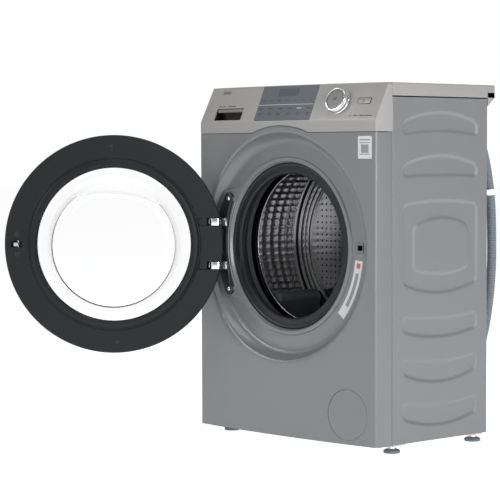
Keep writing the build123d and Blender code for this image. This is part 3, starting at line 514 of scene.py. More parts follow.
def swing_open(piece: Mesh) -> Mesh:
    """Turns a piece of the closed door to the rest pose."""
    return moved(piece, turn(-DOOR_OPEN, "Z", HINGE))


def soften(outline: Outline, closed: bool = True, steps: int = 4) -> list[tuple[float, float]]:
    """Rounds the corners of an outline.

    Args:
        outline: points as (across, along, radius), the radius optional.
        closed: whether the outline is a loop.
        steps: points added round a corner.

    Returns:
        The outline's points.
    """
    result = []
    count = len(outline)
    for index, point in enumerate(outline):
        here = Vector(point[:2])
        radius = point[2] if len(point) > 2 else 0.0
        if not radius or (not closed and index in (0, count - 1)):
            result.append(tuple(here))
            continue
        before = Vector(outline[index - 1][:2]) - here
        after = Vector(outline[(index + 1) % count][:2]) - here
        half = before.angle(after) / 2
        reach = min(radius / math.tan(half), 0.48 * before.length, 0.48 * after.length)
        start, end = here + before.normalized() * reach, here + after.normalized() * reach
        for step in range(steps + 1):
            share = step / steps
            result.append(tuple(start.lerp(here, share).lerp(here.lerp(end, share), share)))
    return result


def turned(name: str, outline: Outline, steps: int = 160, closed: bool = True,
           centre: tuple[float, float] = (0.0, AXIS_Z), arc: float = 360.0) -> Mesh:
    """Spins an outline of (radius, y, rounding) points about an axis along Y.

    Args:
        name: the piece's name.
        outline: the section's points.
        steps: how many sides the round shape has.
        closed: whether the outline is a loop.
        centre: x and z of the axis.
        arc: degrees turned through, from +X.

    Returns:
        The piece.
    """
    section = soften(outline, closed)
    count = len(section)
    edges = [(i, (i + 1) % count) for i in range(count if closed else count - 1)]
    piece = add_mesh(name, [(centre[0] + r, y, centre[1]) for r, y in section], (), edges)
    with editing(piece, everything=True):
        bpy.ops.mesh.spin(steps=steps, angle=math.radians(arc), use_auto_merge=True,
                          center=(centre[0] * MM, 0.0, centre[1] * MM), axis=(0.0, 1.0, 0.0))
    recalculate(piece)
    return piece


def sheet(name: str, across: Sequence[float], up: Sequence[float],
          place: Callable[[float, float], Sequence[float]]) -> Mesh:
    """A grid whose points are placed by a rule.

    Args:
        name: the piece's name.
        across: values of the first coordinate at the grid's columns.
        up: values of the second at its rows.
        place: gives the point for a pair of values.

    Returns:
        The piece.
    """
    bpy.ops.object.select_all(action="DESELECT")
    bpy.ops.mesh.primitive_grid_add(x_subdivisions=len(across) - 1, y_subdivisions=len(up) - 1, size=2.0)
    piece = bpy.context.active_object
    piece.name = piece.data.name = name
    for vertex in piece.data.vertices:
        column = round((vertex.co.x + 1) / 2 * (len(across) - 1))
        row = round((vertex.co.y + 1) / 2 * (len(up) - 1))
        vertex.co = Vector(place(across[column], up[row])) * MM
    return piece


def spaced(low: float, high: float, count: int) -> list[float]:
    """Evenly spaced values, both ends included."""
    return [low + (high - low) * i / count for i in range(count + 1)]


def block(name: str, x: Sequence[float], y: Sequence[float], z: Sequence[float], round_by: float = 0.0,
          segments: int = 3) -> Mesh:
    """A box between limits with its edges rounded.

    Args:
        name: the piece's name.
        x: its left and right.
        y: its front and rear.
        z: its bottom and top.
        round_by: radius of the edges.
        segments: faces across a rounded edge.

    Returns:
        The piece.
    """
    bpy.ops.object.select_all(action="DESELECT")
    bpy.ops.mesh.primitive_cube_add(size=1.0)
    piece = bpy.context.active_object
    piece.name = piece.data.name = name
    for vertex in piece.data.vertices:
        signs = [value > 0 for value in vertex.co]
        vertex.co = Vector(limit[sign] for limit, sign in zip((x, y, z), signs)) * MM
    if round_by:
        bevel_edges(piece, lambda middle, along: True, round_by, segments)
    return piece


def prism(name: str, outline: Sequence[tuple[float, float]], y: Sequence[float],
          round_by: float = 0.0) -> Mesh:
    """A plate with its rims rounded.

    Args:
        name: the piece's name.
        outline: its (x, z) points.
        y: its front and rear.
        round_by: radius of the rims.

    Returns:
        The piece.
    """
    count = len(outline)
    piece = add_mesh(name, [(px, y[0], pz) for px, pz in outline], [tuple(range(count))])
    with editing(piece, everything=True):
        bpy.ops.mesh.extrude_region_move(TRANSFORM_OT_translate={"value": (0.0, (y[1] - y[0]) * MM, 0.0)})
    recalculate(piece)
    if round_by:
        bevel_edges(piece, lambda middle, along: abs(along.y) < 0.5, round_by, 2)
    return piece


def rod(name: str, start: Sequence[float], end: Sequence[float], radius: float, chamfer: float = 0.6,
        sides: int = 32) -> Mesh:
    """A round bar between two points.

    Args:
        name: the piece's name.
        start: one end of its axis.
        end: the other end.
        radius: its radius.
        chamfer: radius of its rims.
        sides: sides of the round shape.

    Returns:
        The piece.
    """
    start, end = Vector(start), Vector(end)
    along = end - start
    bpy.ops.object.select_all(action="DESELECT")
    bpy.ops.mesh.primitive_cylinder_add(vertices=sides, radius=radius * MM, depth=along.length * MM)
    piece = bpy.context.active_object
    piece.name = piece.data.name = name
    if chamfer:
        bevel_edges(piece, lambda middle, way: abs(way.z) < 0.5, chamfer, 2)
    facing = along.to_track_quat("Z", "Y").to_matrix().to_4x4()
    facing.translation = (start + end) / 2
    return moved(piece, facing)


def loft(name: str, rings: Sequence[Sequence[Sequence[float]]], capped: bool = True) -> Mesh:
    """Joins rings of points into a skin.

    Args:
        name: the piece's name.
        rings: rings with equal numbers of points.
        capped: whether the ends are closed.

    Returns:
        The piece.
    """
    count = len(rings[0])
    points = [point for ring in rings for point in ring]
    faces = [(r * count + i, r * count + (i + 1) % count, (r + 1) * count + (i + 1) % count,
              (r + 1) * count + i)
             for r in range(len(rings) - 1) for i in range(count)]
    if capped:
        faces += [tuple(range(count)), tuple((len(rings) - 1) * count + i for i in range(count))]
    piece = add_mesh(name, points, faces)
    recalculate(piece)
    return piece


def finish(piece: Mesh, look: Finish, body: str, *replaced: str, angle: float = 35.0) -> Mesh:
    """Smooths and dresses a piece, and has it ride on its body.

    Args:
        piece: the finished mesh.
        look: its finish.
        body: the body that it rides on.
        replaced: CAD nodes that it stands for.
        angle: edges sharper than this stay sharp.

    Returns:
        The piece.
    """
    activate(piece)
    bpy.ops.object.shade_smooth_by_angle(angle=math.radians(angle))
    piece.data.materials.clear()
    piece.data.materials.append(look.material())
    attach(piece, body)
    if replaced:
        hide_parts(*replaced)
    log.info("%s: %d faces on %s", piece.name, len(piece.data.polygons), body)
    return piece


def ease(value: float) -> float:
    """Smooth step from 0 to 1."""
    share = min(1.0, max(0.0, value))
    return share * share * (3 - 2 * share)


def front_y(x: float) -> float:
    """The bowed front's y at x."""
    return FRONT_Y + BOW * (x / HALF_W) ** 2


def console_y(x: float, z: float) -> float:
    """The console face's y: bowed, and leaning back above the crease."""
    share = max(0.0, (z - CREASE_Z) / (HEIGHT - CREASE_Z))
    return FRONT_Y + LEAN * share + (BOW + (TOP_BOW - BOW) * share) * (x / HALF_W) ** 2


def lean_normal(x: float) -> Vector:
    """Outward normal of the console's leaning face."""
    return Vector((2 * BOW * x / HALF_W ** 2, -1.0, LEAN / (HEIGHT - CREASE_Z))).normalized()


def lean_point(x: float, z: float, lift: float = 0.0) -> Vector:
    """A point on the console's leaning face, lifted off it along the normal."""
    return Vector((x, console_y(x, z), z)) + lean_normal(x) * lift


def lean_frame(x: float, z: float) -> Matrix:
    """Frame on the leaning face at (x, z), its Z axis outwards."""
    normal = lean_normal(x)
    across = Vector((0.0, 0.0, 1.0)).cross(normal).normalized()
    matrix = Matrix((across, normal.cross(across), normal)).transposed().to_4x4()
    matrix.translation = lean_point(x, z)
    return matrix


def arm_levels() -> list[tuple[float, float]]:
    """Lowest and highest z of each hinge arm."""
    low, high = corners("hinge_arms")
    return [(low.z, low.z + ARM_HIGH), (high.z - ARM_HIGH, high.z)]


# ------------------------------------------------------------------ cabinet

@dataclass
class Cabinet:
    """Painted sheets: front panel with its ring dish, side panels and worktop."""

    corner_r: float = 6.0
    lip_r: float = 276.0
    seam: float = 0.5
    emboss_y: tuple[float, float] = (-95.0, 165.0)
    emboss_depth: float = 3.0
    bands: tuple[tuple[float, float, float, float], ...] = (
        (728.0, 738.0, 762.0, 785.0), (632.0, 636.0, 662.0, 685.0), (276.0, 260.0, 315.0, 308.0),
        (179.0, 155.0, 217.0, 206.5), (76.0, 54.0, 116.0, 105.5), (387.0, 363.0, 570.0, 581.0))
    pad: tuple[float, float, float, float] = (421.0, 407.6, 519.0, 539.5)
    pad_y: tuple[float, float] = (-58.0, 132.0)

    def edge_radius(self, angle: float) -> float:
        """Distance from the porthole's axis to the front panel's outline in a direction."""
        across, up = math.cos(angle), math.sin(angle)
        reach = (HALF_W - self.corner_r) / max(1e-9, abs(across))
        if up < 0:
            return min(reach, (AXIS_Z - BASE_Z) / -up)
        to_seam = (SEAM_Z - self.seam - AXIS_Z) / max(1e-9, up)
        return min(reach, max(to_seam, ARCH_R - self.seam) if to_seam < ARCH_R + 8 else to_seam)

    def directions(self) -> list[float]:
        """Ray directions that pass through every corner of the outline."""
        side, top, low = HALF_W - self.corner_r, SEAM_Z - self.seam - AXIS_Z, BASE_Z - AXIS_Z
        arch = math.asin(top / (ARCH_R - self.seam))
        turns = [math.atan2(low, side), math.atan2(top, side), arch, math.pi - arch,
                 math.pi - math.atan2(top, side), math.pi - math.atan2(low, side)]
        turns.append(turns[0] + 2 * math.pi)
        rays = []
        for index, (start, end) in enumerate(zip(turns, turns[1:])):
            count = max(4, round((end - start) / math.radians(0.45 if index == 4 else 1.25)))
            rays += spaced(start, end, count)[:-1]
        return rays

    def dish_y(self, radius: float, angle: float) -> float:
        """Depth of the ring dish, with the raised seat on the hinge side."""
        x, z = radius * math.cos(angle), AXIS_Z + radius * math.sin(angle)
        surface = front_y(x)
        if radius >= DISH_R:
            return surface + 2.6 * (1 - ease((radius - DISH_R) / (self.lip_r - DISH_R))) ** 2
        floor = -169.6 - 1.6 * ease((244.0 - radius) / 30.0)
        ridge = -175.2 + 7.0 * ease((203.0 - radius) / 5.0) ** 2
        high_edge, low_edge = 599.0 + 0.15 * (x + 225.6), 349.4 - 0.109 * (x + 232.0)
        seat = ease((high_edge - z) / 3.5 + 0.5) * ease((z - low_edge) / 3.5 + 0.5) * ease((-120.0 - x) / 10.0)
        seat *= ease((261.0 - radius) / 8.0)
        step = ease((212.5 - radius) / 2.8)
        inner = floor + (-175.2 - floor) * seat
        inner += (ridge - inner) * step
        wall = 1 - (1 - min(1.0, (DISH_R - radius) / 24.0)) ** 2.4
        return (surface + 3.2) * (1 - wall) + inner * wall

    def front_panel(self) -> Mesh:
        """Front panel: bowed face, soft dish around the porthole, folded edges."""
        rays = self.directions()
        dish = [198.0, 198.8, 199.8, 201.0, 202.2, 203.4, 205.0, 207.5, 209.5, 210.5, 211.3, 212.1, 212.9,
                213.7,
                215.0, 218.0, 222.0, 226.0, 230.0, 234.0, 238.0, 242.0, 246.0, 250.0, 252.5, 254.5, 256.5,
                258.5,
                260.5, 262.0, 263.5, 265.0, 266.2, 267.2, 268.2, 269.0, 269.8, 270.8, 272.0, 273.5,
                self.lip_r]
        rings = [[(197.6 * math.cos(a), y, AXIS_Z + 197.6 * math.sin(a)) for a in rays] for y in (-158.0,
                                                                                                  -165.0)]
        for radius in dish:
            rings.append([(radius * math.cos(a), self.dish_y(radius, a),
                           AXIS_Z + radius * math.sin(a)) for a in rays])
        for step in range(1, 13):
            ring = []
            for angle in rays:
                radius = self.lip_r + (self.edge_radius(angle) - self.lip_r) * step / 12
                x = radius * math.cos(angle)
                ring.append((x, front_y(x), AXIS_Z + radius * math.sin(angle)))
            rings.append(ring)
        panel = loft("front_panel_skin", rings, capped=False)
        side = HALF_W - self.corner_r
        for sign in (-1, 1):
            with editing(panel):
                choose(panel, "EDGE", lambda middle,
                       along: middle.x * sign > side - 0.05 and abs(along.z) > 0.9)
                last = Vector((0.0, 0.0))
                for step in range(1, 7):
                    turned_by = math.radians(15 * step)
                    spot = Vector((math.sin(turned_by), 1 - math.cos(turned_by))) * self.corner_r
                    shift = spot - last
                    pull(shift.x * sign, shift.y)
                    last = spot
                pull(0.0, FLANGE_Y - self.seam - front_y(side) - self.corner_r - 1.5)
                pull(-0.4 * sign, 1.1)
                pull(-6.0 * sign, 0.4)
        recalculate(panel)
        with editing(panel):
            def on_hem(middle: Vector, along: Vector) -> bool:
                """Whether an edge lies on the bottom hem or the top seam."""
                low = abs(middle.z - BASE_Z) < 0.3
                top = middle.z > SEAM_Z - 1.2 and math.hypot(middle.x, middle.z - AXIS_Z) > ARCH_R - 1.2
                return (low or top) and abs(along.z) < 0.7 and middle.y < FLANGE_Y - 1.0
            choose(panel, "EDGE", on_hem)
            pull(0.0, 5.0)
        thicken(panel, SHEET)
        flap_low, flap_high = corners("service_flap")
        flap_r = (flap_high.z - flap_low.z) / 2
        flap_x = flap_high.x - flap_r
        flap_z = joint_place("flap_hinge").z
        lock_low, lock_high = (222.0, 460.5), (246.5, 484.5)
        cut(panel, rod("flap_tool", (flap_x, -230, flap_z), (flap_x, -150, flap_z), flap_r + 1.0, 0, 128),
            block("slot_tool", (lock_low[0], lock_high[0]), (-190, -150), (lock_low[1], lock_high[1])))
        return finish(panel, Finish.PAINT, "cabinet", "front_panel", angle=30)

    def flap(self) -> None:
        """Round service flap with its gooseneck arm and pin."""
        low, high = corners("service_flap")
        pin, radius = joint_place("flap_hinge"), 58.3
        middle = high.x - 58.0
        rings = []
        for reach, sink in ((2.0, 0.0), (20.0, 0.0), (38.0, 0.0), (52.0, 0.0), (56.8, 0.0), (57.8, 0.15),
                            (radius, 0.6),
                            (radius, 1.3), (57.8, 1.4), (52.0, 1.4), (30.0, 1.4), (2.0, 1.4)):
            ring = []
            for angle in spaced(0.0, 2 * math.pi, 96)[:-1]:
                x = middle + reach * math.cos(angle)
                ring.append((x, front_y(x) + sink, pin.z + reach * math.sin(angle)))
            rings.append(ring)
        zone = (pin.z - 8, pin.z + 8)
        parts = [loft("flap_disc", rings),
                 block("leg", (pin.x - 3, pin.x + 3), (pin.y, pin.y + 14.4), zone, 0.6, 1),
                 block("bar", (pin.x - 3, pin.x + 15), (pin.y + 11.6, pin.y + 14.4), zone, 0.6, 1),
                 block("post", (pin.x + 12, pin.x + 15), (pin.y - 4.6, pin.y + 14.4), zone, 0.6, 1),
                 rod("pin", (pin.x, pin.y, pin.z - 20), (pin.x, pin.y, pin.z + 20), 2.0, 0.4),
                 rod("knuckle", (pin.x, pin.y, pin.z - 12.5), (pin.x, pin.y, pin.z + 12.5), 3.4, 0.4)]
        finish(join("service_flap_disc", parts), Finish.PAINT, "flap", "service_flap", angle=40)

    def lock_plate(self) -> None:
        """Plate round the latch slot, with the dark way into the lock behind it."""
        plate = block("lock_plate", (222.4, 246.1), (-171.6, -168.4), (460.9, 484.1), 0.8, 2)
        cut(plate, block("lock_tool", (228.0, 244.0), (-175, -165), (466.5, 478.5)))
        finish(plate, Finish.KNOB_FACE, "cabinet")
        well = block("lock_well", (227.2, 244.8), (-168.6, -155.0), (465.7, 479.3))
        delete_faces(well, lambda middle, normal: normal.y < -0.9)
        thicken(well, 0.6, 1.0)
        finish(well, Finish.BLACK, "cabinet")

    def relief(self, y: float, z: float) -> float:
        """How deep the side sheet is pressed in at a point."""
        def inside(span: tuple[float, float], band: tuple[float, float, float, float]) -> float:
            """Distance inwards from a band's outline."""
            middle, half = (span[0] + span[1]) / 2, (span[1] - span[0]) / 2
            share = min(1.0, ((y - middle) / half) ** 2)
            low = band[1] + (band[0] - band[1]) * share
            high = band[3] + (band[2] - band[3]) * share
            sides = min(y - span[0], span[1] - y)
            ends = min(z - low, high - z)
            if sides < 14 and ends < 14:
                return 14 - math.hypot(14 - sides, 14 - ends)
            return min(sides, ends)
        depth = max(ease((inside(self.emboss_y, band) + 1.0) / 6.5) for band in self.bands)
        return self.emboss_depth * (depth - ease((inside(self.pad_y, self.pad) + 3.0) / 7.0))

    def side_panel(self, sign: int) -> Mesh:
        """One side panel with its pressed bands and folded edges."""
        front, rear = SIDE_LOW.y + 0.4, SIDE_HIGH.y
        across = [front, front + 0.5, front + 1.2] + spaced(front + 3.0, rear - 3.0, 120) + [rear - 1.2, rear]
        up = [SIDE_LOW.z, SIDE_LOW.z + 1.0] + spaced(SIDE_LOW.z + 3.0, SIDE_HIGH.z - 3.0, 290)
        up += [SIDE_HIGH.z - 1.0, SIDE_HIGH.z]

        def place(y: float, z: float) -> tuple[float, float, float]:
            """Point of the sheet, rolled in at its edges."""
            roll = max(front + 1.2 - y, y - rear + 1.2, 0.0) ** 2 * 0.5
            return sign * (HALF_W - self.relief(y, z) - roll), y, z

        panel = sheet("side_panel_" + ("right" if sign > 0 else "left"), across, up, place)
        with editing(panel):
            choose(panel, "EDGE", lambda middle, along: middle.y > rear - 0.05 and abs(along.z) > 0.9)
            pull(-22.0 * sign, 0.0)
            choose(panel, "EDGE", lambda middle, along: middle.y < front + 0.05 and abs(along.z) > 0.9)
            pull(-7.0 * sign, 0.0)
        if sign < 0:
            with editing(panel, everything=True):
                bpy.ops.mesh.flip_normals()
        thicken(panel, SHEET)
        node = "right_side_panel" if sign > 0 else "left_side_panel"
        return finish(panel, Finish.PAINT, "cabinet", node, angle=40)

    def worktop(self) -> Mesh:
        """Worktop slab with soft edges and its rear skirt."""
        slab = block("worktop_slab", (-HALF_W, HALF_W), (TOP_LOW.y, TOP_HIGH.y), (820.0, HEIGHT))
        bevel_edges(slab, lambda middle, along: middle.z > HEIGHT - 1 and middle.y > TOP_LOW.y + 1, 3.5, 4)
        bevel_edges(slab, lambda middle, along: abs(along.z) > 0.9 and middle.y > TOP_LOW.y + 1, 2.0, 3)
        low_y = SIDE_HIGH.y + 1.6
        skirt = [[(x, low_y, 800.0), (x, TOP_HIGH.y - 0.6, 821.0), (x, TOP_HIGH.y - 0.6, 832.0),
                  (x, low_y, 832.0)]
                 for x in (-HALF_W, HALF_W)]
        return finish(join("worktop_slab", [slab, loft("skirt", skirt)]), Finish.CONSOLE, "cabinet",
                      "worktop")

    def labels(self) -> None:
        """Two plain films: a rounded one by the corner and a curved one by the porthole."""
        def film(name: str, outline: Sequence[tuple[float, float]], look: Finish, lift: float) -> None:
            """A film on the bowed front or in the dish."""
            def place(x: float, z: float) -> tuple[float, float, float]:
                """Point of the film."""
                radius, angle = math.hypot(x, z - AXIS_Z), math.atan2(z - AXIS_Z, x)
                return x, self.dish_y(radius, angle) - lift, z
            count = len(outline)
            middle = (sum(p[0] for p in outline) / count, sum(p[1] for p in outline) / count)
            points = [place(*p) for p in outline] + [place(*middle)]
            piece = add_mesh(name, points, [(i, (i + 1) % count, count) for i in range(count)])
            with editing(piece, everything=True):
                bpy.ops.mesh.normals_make_consistent(inside=False)
            thicken(piece, 0.15, 0.0)
            finish(piece, look, "cabinet")

        def rounded(x: tuple[float, float], z: tuple[float, float],
                    radius: float) -> list[tuple[float, float]]:
            """Rounded rectangle."""
            return soften([(x[0], z[0], radius), (x[1], z[0], radius), (x[1], z[1], radius),
                           (x[0], z[1], radius)])

        film("corner_label", rounded((247, 287), (676.7, 728), 3.0), Finish.LABEL, 0.3)
        for index, (low, high) in enumerate(((718, 721), (712, 714), (686, 688))):
            film(f"corner_label_bar_{index + 1}", rounded((252, 282), (low, high), 0.5), Finish.LABEL_PRINT,
                 0.5)
        film("corner_label_panel", rounded((256, 278), (690, 709), 1.0), Finish.LABEL_PRINT, 0.5)
        arc = [math.radians(a) for a in spaced(-6.5, -42.0, 24)]
        for name, low_r, high_r, look, lift, rays in (
                ("curved_label", 222.0, 244.5, Finish.LABEL, 0.35, arc),
                ("curved_label_line", 229.0, 237.5, Finish.LABEL_PRINT, 0.55, arc[5:-5]),
                ("curved_label_dot", 228.0, 238.5, Finish.LABEL_ACCENT, 0.55, arc[1:4])):
            def band(step: float, share: float, rays: list[float] = rays, low_r: float = low_r,
                     high_r: float = high_r, lift: float = lift) -> tuple[float, float, float]:
                """Point of the curved film."""
                angle, radius = rays[round(step)], low_r + (high_r - low_r) * share
                return (radius * math.cos(angle), self.dish_y(radius, angle) - lift,
                        AXIS_Z + radius * math.sin(angle))
            piece = sheet(name, list(range(len(rays))), [0.0, 0.25, 0.5, 0.75, 1.0], band)
            with editing(piece):
                bpy.ops.mesh.select_mode(type="FACE")
                bpy.ops.mesh.select_all(action="SELECT")
                bpy.ops.mesh.normals_make_consistent(inside=False)
            thicken(piece, 0.15, 0.0)
            finish(piece, look, "cabinet")

    def build(self) -> None:
        """Builds and dresses the sheets."""
        self.front_panel()
        self.side_panel(1)
        self.side_panel(-1)
        self.worktop()
        self.flap()
        self.lock_plate()
        self.labels()


# ------------------------------------------------------------------ console

@dataclass
class Console:
    """Console fascia, drawer front, touch window, selector and keys."""

    drawer_edge: float = -90.5
    grip_x: tuple[float, float] = (-245.0, -141.5)
    grip_z: tuple[float, float] = (769.5, 798.0)
    touch_x: tuple[float, float] = (-90.0, 98.0)
    touch_z: tuple[float, float] = (766.8, 848.0)
    key_size: tuple[float, float] = (36.0, 13.0)

    def form(self, name: str, x: tuple[float, float], shift: float, depth: float | None) -> Mesh:
        """Part of the console between two values of x, as a closed solid.

        Args:
            name: the piece's name.
            x: its ends.
            shift: how far its face stands behind the console's face.
            depth: its thickness along Y, or None for one that reaches the cabinet.

        Returns:
            The piece.
        """
        rings = []
        for z in (SEAM_Z + 0.8, CREASE_Z, HEIGHT):
            face = [(px, console_y(px, z) + shift, z) for px in spaced(*x, 48)]
            rear = [(px, py + depth if depth else FLANGE_Y - 0.2, z) for px, py, _ in face]
            rings.append(face + rear[::-1])
        piece = loft(name, rings)
        cut(piece, rod("arch_tool", (0, -300, AXIS_Z), (0, 0, AXIS_Z), ARCH_R + 0.8, 0, 256))
        return piece

    def round_ends(self, piece: Mesh, x: float, corner: float, top: float) -> None:
        """Rounds the end corner, the top and the crease of a console form."""
        bevel_edges(piece, lambda m, a: abs(m.x - x) < 0.1 and abs(a.y) > 0.9 and m.z > HEIGHT - 1, 8.0, 5)
        bevel_edges(piece, lambda m, a: abs(m.x - x) < 0.1 and abs(a.z) > 0.7 and m.y < FLANGE_Y - 8, corner,
                    4)
        bevel_edges(piece, lambda m, a: m.z > HEIGHT - 0.2 and abs(a.x) > 0.6 and m.y < FLANGE_Y - 4, top, 3)
        bevel_edges(piece, lambda m, a: abs(m.z - CREASE_Z) < 0.1 and abs(a.x) > 0.8 and m.y < FLANGE_Y - 30,
                    3.0, 3)

    def fascia(self) -> None:
        """Fixed fascia with its openings."""
        right = self.form("fascia_right", (self.drawer_edge + 0.4, HALF_W), 0.0, None)
        self.round_ends(right, HALF_W, 6.0, 2.5)
        low, high = corners("touch_panel")
        window = block("touch_tool", (low.x - 0.4, high.x + 0.4), (-260, -150), (low.z - 0.5, high.z + 0.4))
        plug = self.form("touch_back", (self.drawer_edge, self.touch_x[1] + 2), 1.6, None)
        cut(right, window)
        knob = moved(rod("knob_tool", (0, 0, -30), (0, 0, 30), 8.4, 0, 48), lean_frame(*self.knob_place()))
        key = moved(block("key_tool", (-18.5, 18.5), (-7, 7), (-12, 20), 1.5), lean_frame(*self.key_place()))
        cut(right, knob, key)
        left = self.form("fascia_left", (-HALF_W, self.drawer_edge - 0.1), 3.4, None)
        self.round_ends(left, -HALF_W, 3.0, 2.5)
        tray_low, tray_high = corners("dispenser_housing")
        cut(left, block("tray_tool", (tray_low.x + 3, tray_high.x - 3), (-300, -100), (748.5, 812)))
        whole = join("console_fascia_skin", [right, plug, left])
        finish(whole, Finish.CONSOLE, "cabinet", "console_fascia", angle=32)

    def knob_place(self) -> tuple[float, float]:
        """x and z of the selector's axis on the face."""
        place = joint_place("selector_turn")
        return place.x, place.z

    def key_place(self) -> tuple[float, float]:
        """x and z of the power key's middle on the face."""
        low, high = corners("power_button")
        return (low.x + high.x) / 2, (low.z + high.z) / 2

    def drawer(self) -> None:
        """Drawer front with its grip recess and the bar in it, and a black strip of painted shade behind the seam
        below it.
        """
        left, corner = -HALF_W, 4.0
        across = [left + corner * (1 - math.cos(math.radians(a))) for a in range(0, 91, 15)]
        across += spaced(left + corner + 3, self.drawer_edge, 44)
        up = [SEAM_Z + 0.8] + spaced(SEAM_Z + 3, CREASE_Z - 2, 6) + [CREASE_Z, CREASE_Z + 2]
        up += spaced(CREASE_Z + 5, HEIGHT - 4, 18) + [HEIGHT - 2.2, HEIGHT - 0.9, HEIGHT - 0.2, HEIGHT]

        def place(x: float, z: float) -> Vector:
            """Point of the drawer front's outer face, rounded at its left and top ends."""
            spot = Vector((x, console_y(x, z), z))
            round_left = max(0.0, left + corner - x)
            spot.y += corner - math.sqrt(max(0.0, corner ** 2 - round_left ** 2))
            spot.y += 1.6 * max(0.0, (z - HEIGHT + 4) / 4) ** 3
            spot.y += 0.5 * (1 - abs(z - CREASE_Z) / 2) if abs(z - CREASE_Z) < 2 else 0.0
            return spot

        front = sheet("drawer_front_skin", across, up, place)
        with editing(front, everything=True):
            bpy.ops.mesh.normals_make_consistent(inside=False)
        face_front(front)
        thicken(front, 2.6)
        mouth = prism("mouth_tool", soften([
            (self.grip_x[0], self.grip_z[0], 3.0), (self.grip_x[1], self.grip_z[0], 3.0),
            (self.grip_x[1], self.grip_z[1], 2.0), (self.grip_x[0], self.grip_z[1], 2.0)]), (-260, -120))
        cut(front, rod("arch_tool", (0, -300, AXIS_Z), (0, 0, AXIS_Z), ARCH_R + 0.8, 0, 256), mouth)
        finish(front, Finish.CONSOLE, "drawer", "drawer_front", angle=32)
        # Black strip behind the seam under the drawer: painted shade that darkens the seam gap.
        strip = sheet("painted_seam_shadow", spaced(-HALF_W + 1.0, -110.0, 24), [737.1, 738.3],
                      lambda px, pz: (px, front_y(px) + 3.6, pz))
        thicken(strip, 1.0, 0.0)
        finish(strip, Finish.BLACK, "cabinet")
        x, z = (self.grip_x[0] - 1.5, self.grip_x[1] + 1.5), (self.grip_z[0] - 1.5, self.grip_z[1] + 1.5)
        pocket = block("grip_pocket", x, (-196.0, -158.5), z)
        delete_faces(pocket, lambda middle, normal: normal.y < -0.9)
        thicken(pocket, 1.2)
        for vertex in pocket.data.vertices:
            spot = vertex.co / MM
            vertex.co.y = max(spot.y, console_y(spot.x, spot.z) + 1.2) * MM
        finish(pocket, Finish.BLACK, "drawer")
        bar = block("grip_bar", (self.grip_x[0] + 12, self.grip_x[1] - 1), (-184.0, -176.0), (788.0, 796.5),
                    2.5)
        finish(bar, Finish.KNOB_FACE, "drawer")

    def touch_window(self) -> None:
        """Touch window, display, divider line and plain marks."""
        def plate(name: str, x: tuple[float, float], z: tuple[float, float], lift: float, look: Finish,
                  radius: float = 0.0, thick: float = 1.0, body: str = "cabinet", *replaced: str) -> Mesh:
            """Thin plate that follows the leaning face."""
            across, up = spaced(*x, max(1, round((x[1] - x[0]) / 8))), spaced(*z,
                                                                              max(1,
                                                                                  round((z[1] - z[0]) / 8)))
            piece = sheet(name, across, up, lambda px, pz: lean_point(px, pz, lift))
            if radius:
                with editing(piece):
                    mesh = bmesh.from_edit_mesh(piece.data)
                    for vertex in mesh.verts:
                        vertex.select = len(vertex.link_edges) == 2
                    bmesh.update_edit_mesh(piece.data)
                    bpy.ops.mesh.bevel(offset=radius * MM, segments=4, affect="VERTICES")
            face_front(piece)
            thicken(piece, thick)
            return finish(piece, look, body, *replaced)

        plate("touch_window", self.touch_x, self.touch_z, -0.1, Finish.TOUCH, 3.5, 1.2, "cabinet",
              "touch_panel")
        plate("display_window", (-31, 36), (824, 842), 0.12, Finish.DISPLAY, 1.0, 0.2)
        plate("divider_line", (-89, 95), (803.5, 804.6), 0.16, Finish.LINE, 0.0, 0.2)
        rows = ((813.6, 7, 8.0, 1.5), (795.0, 6, 15.0, 1.7), (783.6, 6, 13.0, 1.5), (779.5, 6, 9.0, 1.2))
        for row, (z, count, width, tall) in enumerate(rows):
            for index in range(count):
                x = -75 + index * (160 / (count - 1))
                look = Finish.LINE if (row, index) == (1, 4) else Finish.PRINT
                plate(f"touch_mark_{row + 1}_{index + 1}", (x - width / 2, x + width / 2),
                      (z - tall / 2, z + tall / 2),
                      0.16, look, 0.0, 0.15)
        for index, (x, width) in enumerate(((-236, 12), (-221, 9), (-200, 9), (-186, 22))):
            plate(f"drawer_mark_{index + 1}", (x - width / 2, x + width / 2), (802.6, 804.4), 0.16,
                  Finish.PRINT,
                  0.0, 0.15, "drawer")
        for index, (x, width) in enumerate(((219, 3), (235, 11), (254, 15), (273, 19))):
            plate(f"console_mark_{index + 1}", (x - width / 2, x + width / 2), (773.8, 775.6), 0.16,
                  Finish.PRINT,
                  0.0, 0.15)
        plate("badge", (-244, -212), (833.5, 840.5), 0.2, Finish.KNOB_FACE, 3.0, 0.3, "drawer")

    def selector(self) -> None:
        """Chrome selector ring, the start key in its middle and the power key."""
        frame_here = lean_frame(*self.knob_place())
        lay_flat = Matrix.Rotation(math.radians(90), 4, "X")

        def on_face(piece: Mesh, where: Matrix) -> Mesh:
            """Moves a piece turned about Y so that its axis is the face's normal."""
            return moved(piece, where @ lay_flat)

